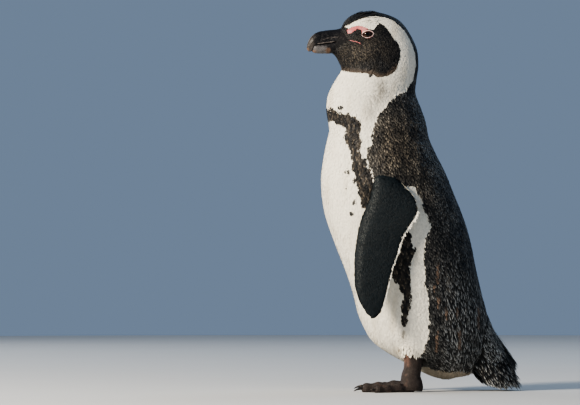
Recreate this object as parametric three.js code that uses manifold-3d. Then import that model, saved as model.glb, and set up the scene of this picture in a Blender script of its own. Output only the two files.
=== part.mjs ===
// African penguin, standing: a still, life-size model in closed solids, one mesh for each named part.
// Millimetres, +Z up. The bird faces -Y, its left side is +X, and its soles lie at z = 0.
// The origin is on the floor, midway between bill tip and tail tip.
import * as THREE from "three";
import { mergeVertices } from "three/addons/utils/BufferGeometryUtils.js";
import Module from "manifold-3d";

const wasm = await Module();
wasm.setup();

// ---------------------------------------------------------------- driving sizes
const GAP = 0.3; // clearance between neighbouring solids
const SOLE = 0; // level that the feet and the tail rest on
const FAR = 400; // larger than the bird in every direction

// The body is one lofted form. Each station is a ring in the plane that holds its ventral point, its dorsal
// point and the X direction: [ventral y, z, dorsal y, z, half width, seat of the widest place, squareness].
const BODY_STATIONS = [
  [40, 19.6, 52, 19.8, 7, 0.5, 2.0], // under-tail bulge
  [30, 21.2, 65, 21.5, 19.5, 0.5, 2.0],
  [14, 27, 86, 27, 33, 0.5, 2.0],
  [-8, 39, 97, 41, 48, 0.48, 2.1],
  [-38, 54, 104, 60, 60, 0.47, 2.2], // thighs
  [-61, 73, 107, 80, 68, 0.46, 2.2],
  [-77.5, 104, 105, 106, 75, 0.46, 2.2],
  [-86, 136, 97, 138, 79, 0.47, 2.2],
  [-98.5, 173, 89.5, 173, 82, 0.48, 2.2],
  [-116.5, 219, 80.5, 219, 83, 0.5, 2.2], // belly
  [-129.5, 264, 64.5, 264.5, 81.5, 0.52, 2.2],
  [-133, 306, 47.5, 306.5, 77, 0.53, 2.15], // shoulders
  [-128, 342, 30, 343, 68, 0.53, 2.1],
  [-124.8, 357, 23, 359, 62.5, 0.52, 2.1],
  [-121.5, 372, 19.8, 374, 57, 0.52, 2.05], // shoulder blades
  [-123.2, 386, 17, 388, 52.8, 0.5, 2.0],
  [-125.5, 401, 11.5, 403, 49, 0.5, 2.0], // chest band
  [-123, 424, 3, 428, 44, 0.5, 2.0], // neck
  [-114.5, 441, 5, 448, 40, 0.5, 2.0],
  [-105, 456, 7.5, 468, 37.3, 0.5, 2.0], // throat and nape
  [-103.5, 462.5, 6, 487, 36, 0.48, 2.0],
  [-106, 467.5, -2, 507, 34.4, 0.46, 2.05], // cheeks
  [-107.8, 471.5, -19, 530, 31.4, 0.46, 2.1],
  [-109.5, 475, -47, 541.5, 28, 0.46, 2.1], // eyes and crown
  [-111.5, 478, -73, 542.5, 24, 0.46, 2.1],
  [-113.5, 480.5, -90, 537, 19.3, 0.46, 2.1],
  [-116, 482.3, -99.5, 528, 15.6, 0.46, 2.1],
  [-119.3, 483.6, -103, 519.3, 12.8, 0.46, 2.1], // bill base
];
const BODY_ROWS = 44;
const BODY_SIDES = 26;
const NECK_FROM = 16; // station where the trunk meets the neck
const HEAD_FROM = 19; // station where the neck meets the head

// Bill: upper and lower mandible, in rings like the body's, from the face to the tip.
const UPPER_BILL = [
  [-112.6, 499.2, -103.4, 518.9, 11.6, 0.25, 2.2],
  [-120, 497.6, -112, 516.4, 10.4, 0.25, 2.2],
  [-127, 496.7, -121, 514.7, 9.3, 0.25, 2.2],
  [-133, 495.6, -130.5, 512.8, 8.4, 0.25, 2.2],
  [-139, 494.6, -138, 511, 7.6, 0.28, 2.2],
  [-144.5, 494, -144.6, 506.6, 6.6, 0.3, 2.1],
  [-148.6, 492.6, -149.6, 501.4, 5.2, 0.35, 2.0],
  [-150.4, 489.6, -152.4, 495.5, 3.6, 0.45, 2.0],
  [-151.2, 487.4, -153.5, 490.2, 1.7, 0.5, 2.0],
];
const LOWER_BILL = [
  [-120.2, 483.9, -113.4, 498.2, 10.4, 0.75, 2.2],
  [-127, 484.3, -122, 496.8, 8.9, 0.75, 2.2],
  [-133, 483.9, -131, 495.3, 7.9, 0.75, 2.2],
  [-139, 484, -139, 494, 7, 0.75, 2.1],
  [-145, 485.4, -145.3, 493, 5.4, 0.7, 2.0],
  [-148.4, 487.4, -148.8, 490.8, 3, 0.6, 2.0],
];
const BILL_ROWS = 11;
const BILL_SIDES = 14;

const EYE_RADIUS = 8;
const EYE_CENTRE = new THREE.Vector3(22.2, -68, 508.5);

// Flipper: horizontal slices of a blade, from the shoulder down to the tip:
// [z, leading edge y, trailing edge y, middle x, thickness].
const FLIPPER_SLICES = [
  [318, -60, -46, 70, 16],
  [310, -64.5, -41, 74, 18],
  [299, -66, -32, 78, 19],
  [288, -68, -22, 81.5, 18],
  [277, -71, -12.5, 84.5, 16.5],
  [266, -74.5, -7.6, 87, 15],
  [255, -79.5, -7, 89, 14],
  [244, -84, -11.5, 90.5, 13],
  [230, -88, -21.5, 92, 12.5],
  [215, -91, -29.5, 93, 12],
  [198, -93.5, -34.5, 94, 11.5],
  [180, -94.6, -41, 95, 10.5],
  [162, -94.5, -46, 96, 9.5],
  [145, -93, -50, 97, 8.5],
  [130, -88, -54, 98, 7.5],
  [118, -81.5, -58, 98.5, 6.5],
  [110, -76, -62.5, 99, 5],
];
const FLIPPER_TIP_Z = 106.5;
const FLIPPER_TWIST = 0.16; // how far the leading edge lies nearer the body, as a share of the chord
const FLIPPER_ROWS = 17;
const FLIPPER_SIDES = 12;
const SHOULDER = { y: -50, z: 300 }; // the right flipper is swung back about this line along X
const RIGHT_SWING = 13; // degrees

// Tail: a core that carries on from the rump, and an arch of stiff quills. Half of the arch is listed, from
// the middle of the back to one side: [place, root x, root y, root z, tip x, tip y, tip z].
const TAIL_CORE = [
  [58, 62, 90, 142, 48, 0.5, 2.0],
  [68, 44, 102, 116, 42, 0.5, 2.0],
  [79, 31, 113.5, 90, 36.5, 0.48, 2.0],
  [91, 22, 128, 66, 33, 0.46, 2.0],
  [102, 13.5, 139.5, 50, 31, 0.45, 2.0],
  [110, 8.5, 144.5, 40, 28.5, 0.45, 2.0],
];
const QUILL_ARCH = [
  [0, 0, 112, 86, 0, 151.8, 33.5],
  [0.22, 9, 110, 80, 9, 149.5, 23],
  [0.42, 16, 107, 70, 17, 153.6, 1.2],
  [0.6, 22, 102, 60, 24, 140, 1.2],
  [0.8, 27, 93, 50, 30, 121, 1.4],
  [1, 29, 82, 44, 33, 103, 9],
];
const QUILLS = { count: 17, halfWidth: 6.2, thickness: 3, roll: 1.3 };

// Leg and foot, for the bird's left side; the right side is its mirror image.
const ANKLE = new THREE.Vector3(42, -7, 0);
const RIGHT_STEP = 10; // the right foot stands this far behind the left
const LEG_RINGS = [
  // [y, z, half width, half depth]
  [-9, 66, 19, 21],
  [-6, 52, 16, 17],
  [-7.5, 38, 12.5, 14.5],
  [-8.5, 24, 12, 14],
  [-8, 11, 12.5, 15],
];
const TOES = {
  // length to the claw's root, heading outwards in radians, half width and height at the root and the end
  inner: { length: 52, heading: -0.3, root: [7, 14], end: [5, 8.5], claw: 13 },
  middle: { length: 70, heading: 0.05, root: [8, 15.5], end: [5.2, 9], claw: 14.5 },
  outer: { length: 59, heading: 0.4, root: [7.2, 14.5], end: [5, 8.5], claw: 13 },
};
const HALLUX = { length: 15, heading: -1.0, root: [4, 9], end: [2.6, 5.5], claw: 8, lift: 3 };
const WEB = { thickness: 3, reach: 0.86, scallop: 0.16 };

// ---------------------------------------------------------------- surfaces
const LOOKS = {
  black: { color: 0x1d1d1f, roughness: 0.75 },
  white: { color: 0xe4e0d6, roughness: 0.8 },
  bill: { color: 0x23211f, roughness: 0.4 },
  foot: { color: 0x2b2523, roughness: 0.7 },
  claw: { color: 0x1a1614, roughness: 0.45 },
  eye: { color: 0x120805, roughness: 0.08 },
};
const materials = Object.fromEntries(
  Object.entries(LOOKS).map(([name, look]) => [
    name,
    new THREE.MeshStandardMaterial({ ...look, metalness: 0, name }),
  ]),
);

// ---------------------------------------------------------------- making and joining closed forms
const lerp = THREE.MathUtils.lerp;

// A smooth curve through a column of values at rising knots, with each slope taken from its neighbours.
function smoothColumn(knots, values) {
  const last = knots.length - 1;
  const slope = (i) => {
    if (i === 0) return (values[1] - values[0]) / (knots[1] - knots[0]);
    if (i === last) return (values[last] - values[last - 1]) / (knots[last] - knots[last - 1]);
    const before = knots[i] - knots[i - 1];
    const after = knots[i + 1] - knots[i];
    const rateBefore = (values[i] - values[i - 1]) / before;
    const rateAfter = (values[i + 1] - values[i]) / after;
    return (rateBefore * after + rateAfter * before) / (before + after);
  };
  return (t) => {
    let i = 0;
    while (i < last - 1 && t > knots[i + 1]) i++;
    const span = knots[i + 1] - knots[i];
    const u = THREE.MathUtils.clamp((t - knots[i]) / span, 0, 1);
    const u2 = u * u;
    const u3 = u2 * u;
    return (
      (2 * u3 - 3 * u2 + 1) * values[i] +
      (u3 - 2 * u2 + u) * span * slope(i) +
      (3 * u2 - 2 * u3) * values[i + 1] +
      (u3 - u2) * span * slope(i + 1)
    );
  };
}

// Knots at the mean distance travelled by the ventral and the dorsal line.
function stationKnots(stations) {
  const knots = [0];
  for (let i = 1; i < stations.length; i++) {
    const [a, b] = [stations[i - 1], stations[i]];
    const ventral = Math.hypot(b[0] - a[0], b[1] - a[1]);
    const dorsal = Math.hypot(b[2] - a[2], b[3] - a[3]);
    knots.push(knots[i - 1] + (ventral + dorsal) / 2);
  }
  return knots;
}

// Closes a stack of rings into one solid: quads between neighbouring rings, and a fan on each end.
function closeRings(rings, sides) {
  const positions = rings.flat(2);
  const centre = (ring) => [0, 1, 2].map((k) => ring.reduce((sum, p) => sum + p[k], 0) / ring.length);
  positions.push(...centre(rings[0]), ...centre(rings.at(-1)));
  const [startPole, endPole] = [rings.length * sides, rings.length * sides + 1];
  const faces = [];
  for (let s = 0; s < sides; s++) {
    const next = (s + 1) % sides;
    for (let r = 0; r < rings.length - 1; r++) {
      const [a, b] = [r * sides + s, r * sides + next];
      const [c, d] = [a + sides, b + sides];
      faces.push(a, b, d, a, d, c);
    }
    const top = (rings.length - 1) * sides;
    faces.push(startPole, next, s, endPole, top + s, top + next);
  }
  const geometry = new THREE.BufferGeometry();
  geometry.setAttribute("position", new THREE.Float32BufferAttribute(positions, 3));
  geometry.setIndex(faces);
  return geometry;
}

// A loft through station rings, grown outwards by `grow`.
function loft(stations, rows, sides, grow = 0) {
  const knots = stationKnots(stations);
  const columns = stations[0].map((_, c) => smoothColumn(knots, stations.map((s) => s[c])));
  const rings = [];
  for (let r = 0; r <= rows; r++) {
    const t = (knots.at(-1) * r) / rows;
    const [ay, az, by, bz, width, seat, power] = columns.map((column) => column(t));
    const length = Math.hypot(by - ay, bz - az);
    const [uy, uz] = [(by - ay) / length, (bz - az) / length];
    const ring = [];
    for (let s = 0; s < sides; s++) {
      const angle = (2 * Math.PI * s) / sides;
      const [c, n] = [Math.cos(angle), Math.sin(angle)];
      const bulge = (v) => Math.sign(v) * Math.abs(v) ** (2 / power);
      const reach = c >= 0 ? (1 - seat) * length + grow : seat * length + grow;
      const along = seat * length + reach * bulge(c);
      ring.push([(width + grow) * bulge(n), ay + uy * along, az + uz * along]);
    }
    rings.push(ring);
  }
  return closeRings(rings, sides);
}

// A sweep of oval sections along a path. Each knot is { at, side, lift }: its place, and its half width and
// half height. `up` is the direction of the height.
function sweep(path, sides, up = new THREE.Vector3(0, 0, 1)) {
  const rings = path.map((knot, i) => {
    const ahead = path[Math.min(i + 1, path.length - 1)].at;
    const behind = path[Math.max(i - 1, 0)].at;
    const tangent = ahead.clone().sub(behind).normalize();
    const across = new THREE.Vector3().crossVectors(tangent, up).normalize();
    const raise = new THREE.Vector3().crossVectors(across, tangent);
    return Array.from({ length: sides }, (_, s) => {
      const angle = (2 * Math.PI * s) / sides;
      return knot.at
        .clone()
        .addScaledVector(across, -knot.side * Math.cos(angle))
        .addScaledVector(raise, knot.lift * Math.sin(angle))
        .toArray();
    });
  });
  return closeRings(rings, sides);
}

// A geometry as a manifold-3d solid, turned right side out if its rings ran the other way.
function solid(geometry) {
  const bare = geometry.clone();
  bare.deleteAttribute("normal");
  bare.deleteAttribute("uv");
  const merged = mergeVertices(bare, 1e-4);
  const make = (triVerts) =>
    new wasm.Manifold(
      new wasm.Mesh({ numProp: 3, vertProperties: merged.attributes.position.array, triVerts }),
    );
  const faces = new Uint32Array(merged.index.array);
  const made = make(faces);
  return made.volume() > 0 ? made : make(faces.slice().reverse());
}

// A manifold-3d solid as a geometry, keeping only its largest piece.
function geometryOf(made) {
  const largest = made.decompose().reduce((a, b) => (a.volume() > b.volume() ? a : b));
  const mesh = largest.getMesh();
  const geometry = new THREE.BufferGeometry();
  geometry.setAttribute("position", new THREE.BufferAttribute(mesh.vertProperties, 3));
  geometry.setIndex(new THREE.BufferAttribute(mesh.triVerts, 1));
  return geometry;
}

const joined = (solids) => solids.reduce((a, b) => a.add(b));

// A block that fills everything above a level.
function above(level) {
  const block = new THREE.BoxGeometry(2 * FAR, 2 * FAR, 2 * FAR);
  return solid(block.translate(0, 0, FAR + level));
}

// ---------------------------------------------------------------- body, parted by thin cuts
const wholeBody = solid(loft(BODY_STATIONS, BODY_ROWS, BODY_SIDES));
const bodyClearance = solid(loft(BODY_STATIONS, BODY_ROWS, BODY_SIDES, GAP));

// A slab GAP thick in the plane of one station.
function cutAt(station) {
  const [ay, az, by, bz] = BODY_STATIONS[station];
  const slab = new THREE.BoxGeometry(FAR, FAR, GAP);
  slab.rotateX(Math.atan2(bz - az, by - ay));
  slab.translate(0, (ay + by) / 2, (az + bz) / 2);
  return solid(slab);
}

const parted = wholeBody
  .subtract(cutAt(NECK_FROM))
  .subtract(cutAt(HEAD_FROM))
  .decompose()
  .sort((a, b) => a.boundingBox().max[2] - b.boundingBox().max[2]);
const [trunk, neck, headBlank] = parted;

// ---------------------------------------------------------------- head: eyes and bill
function eyeBall(side, radius) {
  const ball = new THREE.SphereGeometry(radius, 16, 8);
  ball.rotateZ(Math.PI / 2);
  return solid(ball.translate(side * EYE_CENTRE.x, EYE_CENTRE.y, EYE_CENTRE.z));
}

const upperBill = solid(loft(UPPER_BILL, BILL_ROWS, BILL_SIDES));
const upperClearance = solid(loft(UPPER_BILL, BILL_ROWS, BILL_SIDES, GAP));
const lowerBill = solid(loft(LOWER_BILL, BILL_ROWS, BILL_SIDES)).subtract(upperClearance);
const head = headBlank.subtract(eyeBall(1, EYE_RADIUS + GAP)).subtract(eyeBall(-1, EYE_RADIUS + GAP));

// ---------------------------------------------------------------- tail
const archColumns = [1, 2, 3, 4, 5, 6].map((c) =>
  smoothColumn(QUILL_ARCH.map((row) => row[0]), QUILL_ARCH.map((row) => row[c])),
);

// One quill of the tail. `place` runs from -1 on one side of the arch to 1 on the other.
function quill(place) {
  const [rootX, rootY, rootZ, tipX, tipY, tipZ] = archColumns.map((column) => column(Math.abs(place)));
  const side = Math.sign(place);
  const root = new THREE.Vector3(side * rootX, rootY, rootZ);
  const tip = new THREE.Vector3(side * tipX, tipY, tipZ);
  const slope = Math.atan2(tip.y - root.y, root.z - tip.z);
  const roll = place * QUILLS.roll;
  const up = new THREE.Vector3(Math.sin(roll), Math.cos(roll) * Math.cos(slope), Math.cos(roll) * Math.sin(slope));
  const shape = [
    [0, 0.7],
    [0.6, 1],
    [0.86, 0.8],
    [1, 0.1],
  ];
  const path = shape.map(([share, width]) => ({
    at: root.clone().lerp(tip, share),
    side: QUILLS.halfWidth * width,
    lift: (QUILLS.thickness / 2) * Math.max(width, 0.35),
  }));
  return solid(sweep(path, 4, up));
}

const quills = Array.from({ length: QUILLS.count }, (_, i) => quill((2 * i) / (QUILLS.count - 1) - 1));
const tail = joined([solid(loft(TAIL_CORE, 7, 20)), ...quills]).intersect(above(SOLE)).subtract(bodyClearance);

// ---------------------------------------------------------------- flippers
function flipperRing(z, lead, trail, middle, thickness) {
  const half = (trail - lead) / 2;
  return Array.from({ length: FLIPPER_SIDES }, (_, s) => {
    const angle = (2 * Math.PI * s) / FLIPPER_SIDES;
    const chord = Math.cos(angle);
    // fullest towards the leading edge, thin at the trailing edge
    const swell = Math.sin(angle) * (0.78 - 0.3 * chord);
    return [middle + chord * half * FLIPPER_TWIST + (swell * thickness) / 2, (lead + trail) / 2 + chord * half, z];
  });
}

function flipper() {
  const top = FLIPPER_SLICES[0][0];
  const knots = FLIPPER_SLICES.map((slice) => top - slice[0]);
  const columns = [1, 2, 3, 4].map((c) => smoothColumn(knots, FLIPPER_SLICES.map((slice) => slice[c])));
  const rings = [];
  for (let r = 0; r <= FLIPPER_ROWS; r++) {
    const t = (knots.at(-1) * r) / FLIPPER_ROWS;
    rings.push(flipperRing(top - t, ...columns.map((column) => column(t))));
  }
  const [lead, trail, middle, thickness] = columns.map((column) => column(knots.at(-1)));
  rings.push(flipperRing(FLIPPER_TIP_Z, lerp(lead, trail, 0.3), lerp(lead, trail, 0.8), middle, thickness / 2));
  return solid(closeRings(rings, FLIPPER_SIDES));
}

// ---------------------------------------------------------------- legs, feet and claws
function legSolid(grow) {
  const path = LEG_RINGS.map(([y, z, width, depth]) => ({
    at: new THREE.Vector3(ANKLE.x, y, z),
    side: width + grow,
    lift: depth + grow,
  }));
  return solid(sweep(path, 14, new THREE.Vector3(0, -1, 0)));
}

// Places along a toe, from under the ankle to the root of its claw.
function toePoint(toe, share, height) {
  const distance = toe.length * share;
  return new THREE.Vector3(
    ANKLE.x + distance * Math.sin(toe.heading),
    ANKLE.y - distance * Math.cos(toe.heading),
    height,
  );
}

function toeSolid(toe, lift = 0) {
  // two swollen joints on the way to a rounded end
  const swelling = [0.95, 0.92, 1.05, 0.9, 1.06, 0.9, 1.0, 0.55];
  const shares = [0, 0.22, 0.4, 0.54, 0.7, 0.84, 0.95, 1.03];
  const path = shares.map((share, i) => {
    const height = lerp(toe.root[1], toe.end[1], share) * swelling[i];
    return {
      at: toePoint(toe, share, height * 0.42 + lift),
      side: lerp(toe.root[0], toe.end[0], share) * swelling[i],
      lift: height * 0.58,
    };
  });
  return solid(sweep(path, 8));
}

function clawSolid(toe, grow = 0, lift = 0) {
  const [width, height] = toe.end;
  const arch = [
    [-0.12, 0.52, 0.42],
    [0.2, 0.56, 0.4],
    [0.5, 0.5, 0.3],
    [0.8, 0.32, 0.18],
    [1, 0.12, 0.04],
  ];
  const path = arch.map(([along, up, size]) => ({
    at: toePoint(toe, 1 + (along * toe.claw) / toe.length, height * up + lift + 0.2),
    side: width * size * 1.15 + grow,
    lift: height * size * 0.6 + grow,
  }));
  return solid(sweep(path, 8)).intersect(above(SOLE));
}

// A web between two toes: a thin plate whose front edge hangs back between the claws.
function webSolid(first, second) {
  const flat = (v) => new THREE.Vector2(v.x, v.y);
  const [a, b] = [flat(toePoint(first, WEB.reach, 0)), flat(toePoint(second, WEB.reach, 0))];
  const heel = flat(toePoint(first, 0.05, 0));
  const middle = a.clone().add(b).multiplyScalar(0.5).lerp(heel, WEB.scallop);
  const outline = new THREE.Shape();
  outline.moveTo(heel.x, heel.y);
  outline.lineTo(a.x, a.y);
  outline.quadraticCurveTo(middle.x, middle.y, b.x, b.y);
  outline.closePath();
  const plate = new THREE.ExtrudeGeometry(outline, {
    depth: WEB.thickness,
    bevelEnabled: false,
    curveSegments: 5,
  });
  return solid(plate);
}

function footSolid() {
  const heel = new THREE.SphereGeometry(1, 14, 8);
  heel.scale(13.5, 17, 12).translate(ANKLE.x, ANKLE.y - 1, 6);
  const pieces = [
    solid(heel),
    toeSolid(TOES.inner),
    toeSolid(TOES.middle),
    toeSolid(TOES.outer),
    toeSolid(HALLUX, HALLUX.lift),
    webSolid(TOES.inner, TOES.middle),
    webSolid(TOES.middle, TOES.outer),
  ];
  const clawSockets = [
    clawSolid(TOES.inner, GAP),
    clawSolid(TOES.middle, GAP),
    clawSolid(TOES.outer, GAP),
    clawSolid(HALLUX, GAP, HALLUX.lift),
  ];
  return clawSockets.reduce((foot, socket) => foot.subtract(socket), joined(pieces).intersect(above(SOLE)));
}

// ---------------------------------------------------------------- the bird
const penguin = new THREE.Group();

function addPart(name, made, material) {
  const mesh = new THREE.Mesh(geometryOf(made), materials[material]);
  mesh.name = name;
  mesh.geometry.computeVertexNormals();
  penguin.add(mesh);
}

addPart("head", head, "black");
addPart("neck", neck, "white");
addPart("trunk", trunk, "white");
addPart("tail", tail, "black");
addPart("bill_upper", upperBill, "bill");
addPart("bill_lower", lowerBill, "bill");

const hungFlipper = flipper();
const leg = legSolid(0);
const plainFoot = footSolid();
const foot = plainFoot.subtract(legSolid(GAP));
const claws = {
  inner: clawSolid(TOES.inner),
  middle: clawSolid(TOES.middle),
  outer: clawSolid(TOES.outer),
  hallux: clawSolid(HALLUX, 0, HALLUX.lift),
};

// The right flipper, swung back from the place where the left one hangs.
function rightFlipper() {
  return hungFlipper
    .mirror([1, 0, 0])
    .translate([0, -SHOULDER.y, -SHOULDER.z])
    .rotate([RIGHT_SWING, 0, 0])
    .translate([0, SHOULDER.y, SHOULDER.z]);
}

const SIDES = {
  left: { sign: 1, flipper: hungFlipper, stand: (made) => made },
  right: { sign: -1, flipper: rightFlipper(), stand: (made) => made.mirror([1, 0, 0]).translate([0, RIGHT_STEP, 0]) },
};

for (const [side, { sign, flipper: blade, stand }] of Object.entries(SIDES)) {
  addPart(`eye_${side}`, eyeBall(sign, EYE_RADIUS), "eye");
  addPart(`flipper_${side}`, blade.subtract(bodyClearance), "black");
  addPart(`leg_${side}`, stand(leg).subtract(bodyClearance), "foot");
  addPart(`foot_${side}`, stand(foot), "foot");
  for (const [toe, claw] of Object.entries(claws)) addPart(`claw_${toe}_${side}`, stand(claw), "claw");
}

export default penguin;
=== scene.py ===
"""A life-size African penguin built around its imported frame: skin, plumage, bill, eyes, feet and claws.

Runs in Blender 4.5. Metres, +Z up. The bird faces -Y, its left side is +X and its soles lie at z = 0.
Tables of sizes are in millimetres, and MM turns them into metres.
"""

from __future__ import annotations

import logging
import math
from dataclasses import dataclass, field
from enum import Enum
from functools import cached_property
from typing import Callable, ClassVar, Protocol, Sequence

import bpy
import numpy as np
from bpy.types import Material, Mesh, NodeSocket, Object
from mathutils import Matrix, Vector
from mathutils.bvhtree import BVHTree


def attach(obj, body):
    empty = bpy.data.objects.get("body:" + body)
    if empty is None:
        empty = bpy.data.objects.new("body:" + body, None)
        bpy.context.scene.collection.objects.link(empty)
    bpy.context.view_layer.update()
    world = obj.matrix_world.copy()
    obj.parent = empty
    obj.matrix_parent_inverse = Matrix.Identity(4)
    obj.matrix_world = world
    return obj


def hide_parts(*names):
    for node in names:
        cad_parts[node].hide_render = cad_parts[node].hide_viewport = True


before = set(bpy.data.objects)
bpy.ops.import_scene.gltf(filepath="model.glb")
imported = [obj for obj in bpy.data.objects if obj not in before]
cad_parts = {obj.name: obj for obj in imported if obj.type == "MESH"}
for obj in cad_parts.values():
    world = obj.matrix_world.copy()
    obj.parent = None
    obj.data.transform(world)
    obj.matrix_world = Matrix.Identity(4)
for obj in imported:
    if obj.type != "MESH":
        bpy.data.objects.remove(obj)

Array = np.ndarray
Colour = tuple[float, float, float]
Line = tuple[tuple[float, float], ...]
LOG = logging.getLogger("penguin")
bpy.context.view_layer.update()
BODY = "root"
MM = 0.001
TAU = 2.0 * math.pi
FRAME_PX = (580.0, 405.0)  # width and height of the rendered image
HEAD_FLOOR = 0.46  # metres; nothing but head and neck lies above
FAR_OUT = -9.0  # a depth in millimetres, or a place in metres, beyond anything on the bird


# ---- numbers
def unit(vectors: Array) -> Array:
    """Vectors of length one along the last axis."""
    return vectors / np.maximum(np.linalg.norm(vectors, axis=-1, keepdims=True), 1e-12)


def step(low: float, high: float, x: Array) -> Array:
    """A smooth rise from 0 at `low` to 1 at `high`: 3u^2 - 2u^3."""
    u = np.clip((np.asarray(x, float) - low) / (high - low), 0.0, 1.0)
    return u * u * (3.0 - 2.0 * u)


def blend(a: Array, b: Array, share: Array) -> Array:
    """a where share is 0 and b where it is 1, in a straight line between."""
    return a + (b - a) * share


def smooth_columns(knots: Array, table: Array, t: Array) -> Array:
    """Smooth curves through the columns of a table.

    Cubic Hermite pieces; each knot's slope is the mean of the slopes on its two sides, weighted by the
    length of the other side.

    Args:
        knots: (K,) rising places of the table's rows.
        table: (K, C) values at the knots.
        t: any shape, places to read.

    Returns:
        An array of t's shape with a last axis of length C.
    """
    gaps = np.diff(knots)[:, None]
    rates = np.diff(table, axis=0) / gaps
    slopes = np.empty_like(table)
    slopes[0], slopes[-1] = rates[0], rates[-1]
    slopes[1:-1] = (rates[:-1] * gaps[1:] + rates[1:] * gaps[:-1]) / (gaps[:-1] + gaps[1:])
    t = np.asarray(t, float)
    i = np.clip(np.searchsorted(knots, t, side="right") - 1, 0, len(knots) - 2)
    span = knots[i + 1] - knots[i]
    u = np.clip((t - knots[i]) / span, 0.0, 1.0)[..., None]
    span = span[..., None]
    u2, u3 = u * u, u * u * u
    return (
        (2 * u3 - 3 * u2 + 1) * table[i]
        + (u3 - 2 * u2 + u) * span * slopes[i]
        + (3 * u2 - 2 * u3) * table[i + 1]
        + (u3 - u2) * span * slopes[i + 1]
    )


def ripple(points: Array, size: float, seed: int, squash: Sequence[float] = (1, 1, 1)) -> Array:
    """Smooth noise between about -1 and 1: the mean of nine sine waves in fixed random directions.

    Args:
        points: (..., 3) places in metres.
        size: the usual distance between crests, in millimetres.
        seed: picks the waves.
        squash: the points are multiplied by it first, so a factor below 1 draws the waves out.

    Returns:
        (...) one number for each point.
    """
    rng = np.random.default_rng(seed)
    waves = unit(rng.normal(size=(9, 3))) * (TAU / (size * MM)) * rng.uniform(0.6, 1.5, (9, 1))
    return np.sin((points * np.array(squash)) @ waves.T + rng.uniform(0, TAU, 9)).sum(axis=-1) / 4.0


def polygon_depth(places: Array, outline: Array) -> Array:
    """How far places lie inside a closed outline: positive inside, negative outside.

    The distance to the nearest edge, signed by how often a line to the right crosses the outline.

    Args:
        places: (N, 2).
        outline: (M, 2).

    Returns:
        (N,) signed distances in the unit of the places.
    """
    best = np.full(len(places), np.inf)
    inside = np.zeros(len(places), bool)
    x, y = places[:, 0], places[:, 1]
    for (ax, ay), (bx, by) in zip(outline, np.roll(outline, -1, axis=0)):
        ex, ey = bx - ax, by - ay
        along = np.clip(((x - ax) * ex + (y - ay) * ey) / (ex * ex + ey * ey + 1e-12), 0.0, 1.0)
        best = np.minimum(best, np.hypot(x - ax - along * ex, y - ay - along * ey))
        if ay != by:
            inside ^= ((ay > y) != (by > y)) & (x < ax + (y - ay) * ex / ey)
    return np.where(inside, best, -best)


def circle(count: int) -> Array:
    """Angles spread evenly round a full turn, starting at 0."""
    return np.arange(count) * TAU / count


def turned(a: Array, b: Array, degrees: float) -> tuple[Array, Array]:
    """Coordinates a and b turned from a towards b."""
    c, s = math.cos(math.radians(degrees)), math.sin(math.radians(degrees))
    return a * c - b * s, a * s + b * c


# ---- meshes
@dataclass
class Shell:
    """A closed surface: its points, its four-sided faces and its three-sided faces."""

    points: Array
    quads: Array
    tris: Array

    @classmethod
    def tube(cls, rings: Array) -> Shell:
        """Rings joined one after another, each end closed by a fan round the ring's middle.

        Args:
            rings: (R, C, 3) points, C of them round each ring.

        Returns:
            The closed tube, facing outwards.
        """
        rows, cols = rings.shape[:2]
        points = np.concatenate([rings.reshape(-1, 3), rings[:1].mean(1), rings[-1:].mean(1)])
        r, c = np.meshgrid(np.arange(rows - 1), np.arange(cols), indexing="ij")
        here, after = r * cols + c, r * cols + (c + 1) % cols
        quads = np.stack([here, after, after + cols, here + cols], -1).reshape(-1, 4)
        c = np.arange(cols)
        n, top = (c + 1) % cols, (rows - 1) * cols
        first = np.stack([np.full(cols, rows * cols), n, c], -1)
        last = np.stack([np.full(cols, rows * cols + 1), top + c, top + n], -1)
        return cls(points, quads, np.concatenate([first, last])).outward()

    @classmethod
    def joined(cls, shells: Sequence[Shell]) -> Shell:
        """Several shells as one, side by side in one mesh."""
        starts = np.cumsum([0] + [len(s.points) for s in shells[:-1]])
        return cls(
            np.concatenate([s.points for s in shells]),
            np.concatenate([s.quads + k for s, k in zip(shells, starts)]),
            np.concatenate([s.tris + k for s, k in zip(shells, starts)]),
        )

    def outward(self) -> Shell:
        """This shell with its faces turned outwards, judged by the sign of the enclosed volume."""
        q, t, p = self.quads, self.tris, self.points - self.points.mean(0)
        corners = np.concatenate([q[:, [0, 1, 2]], q[:, [0, 2, 3]], t])
        a, b, c = p[corners[:, 0]], p[corners[:, 1]], p[corners[:, 2]]
        if np.einsum("ij,ij->", a, np.cross(b, c)) < 0:
            return Shell(self.points, q[:, ::-1], t[:, ::-1])
        return self

    def moved(self, change: Callable[[Array], Array]) -> Shell:
        """The shell with its points changed, turned outwards again."""
        return Shell(change(self.points), self.quads, self.tris).outward()

    def place(self, name: str) -> Object:
        """The shell as a mesh object at the origin of the scene."""
        return place_mesh(name, self.points, [self.quads, self.tris])


def place_mesh(name: str, points: Array, faces: Sequence[Array]) -> Object:
    """Puts points and faces into a new smooth-shaded mesh object at the origin.

    Args:
        name: the object's name.
        points: (N, 3) in metres.
        faces: arrays of vertex numbers, (M, 3) or (M, 4) each.

    Returns:
        The new object, linked to the scene.
    """
    mesh = bpy.data.meshes.new(name)
    faces = [f for f in faces if len(f)]
    loops = np.concatenate([f.ravel() for f in faces]).astype(np.int32)
    sizes = np.concatenate([np.full(len(f), f.shape[1], np.int32) for f in faces])
    mesh.vertices.add(len(points))
    mesh.vertices.foreach_set("co", points.astype(np.float32).ravel())
    mesh.loops.add(len(loops))
    mesh.loops.foreach_set("vertex_index", loops)
    mesh.polygons.add(len(sizes))
    mesh.polygons.foreach_set("loop_start", np.concatenate([[0], np.cumsum(sizes)[:-1]]).astype(np.int32))
    mesh.polygons.foreach_set("use_smooth", np.ones(len(sizes), bool))
    mesh.update(calc_edges=True)
    obj = bpy.data.objects.new(name, mesh)
    bpy.context.scene.collection.objects.link(obj)
    return obj


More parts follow.
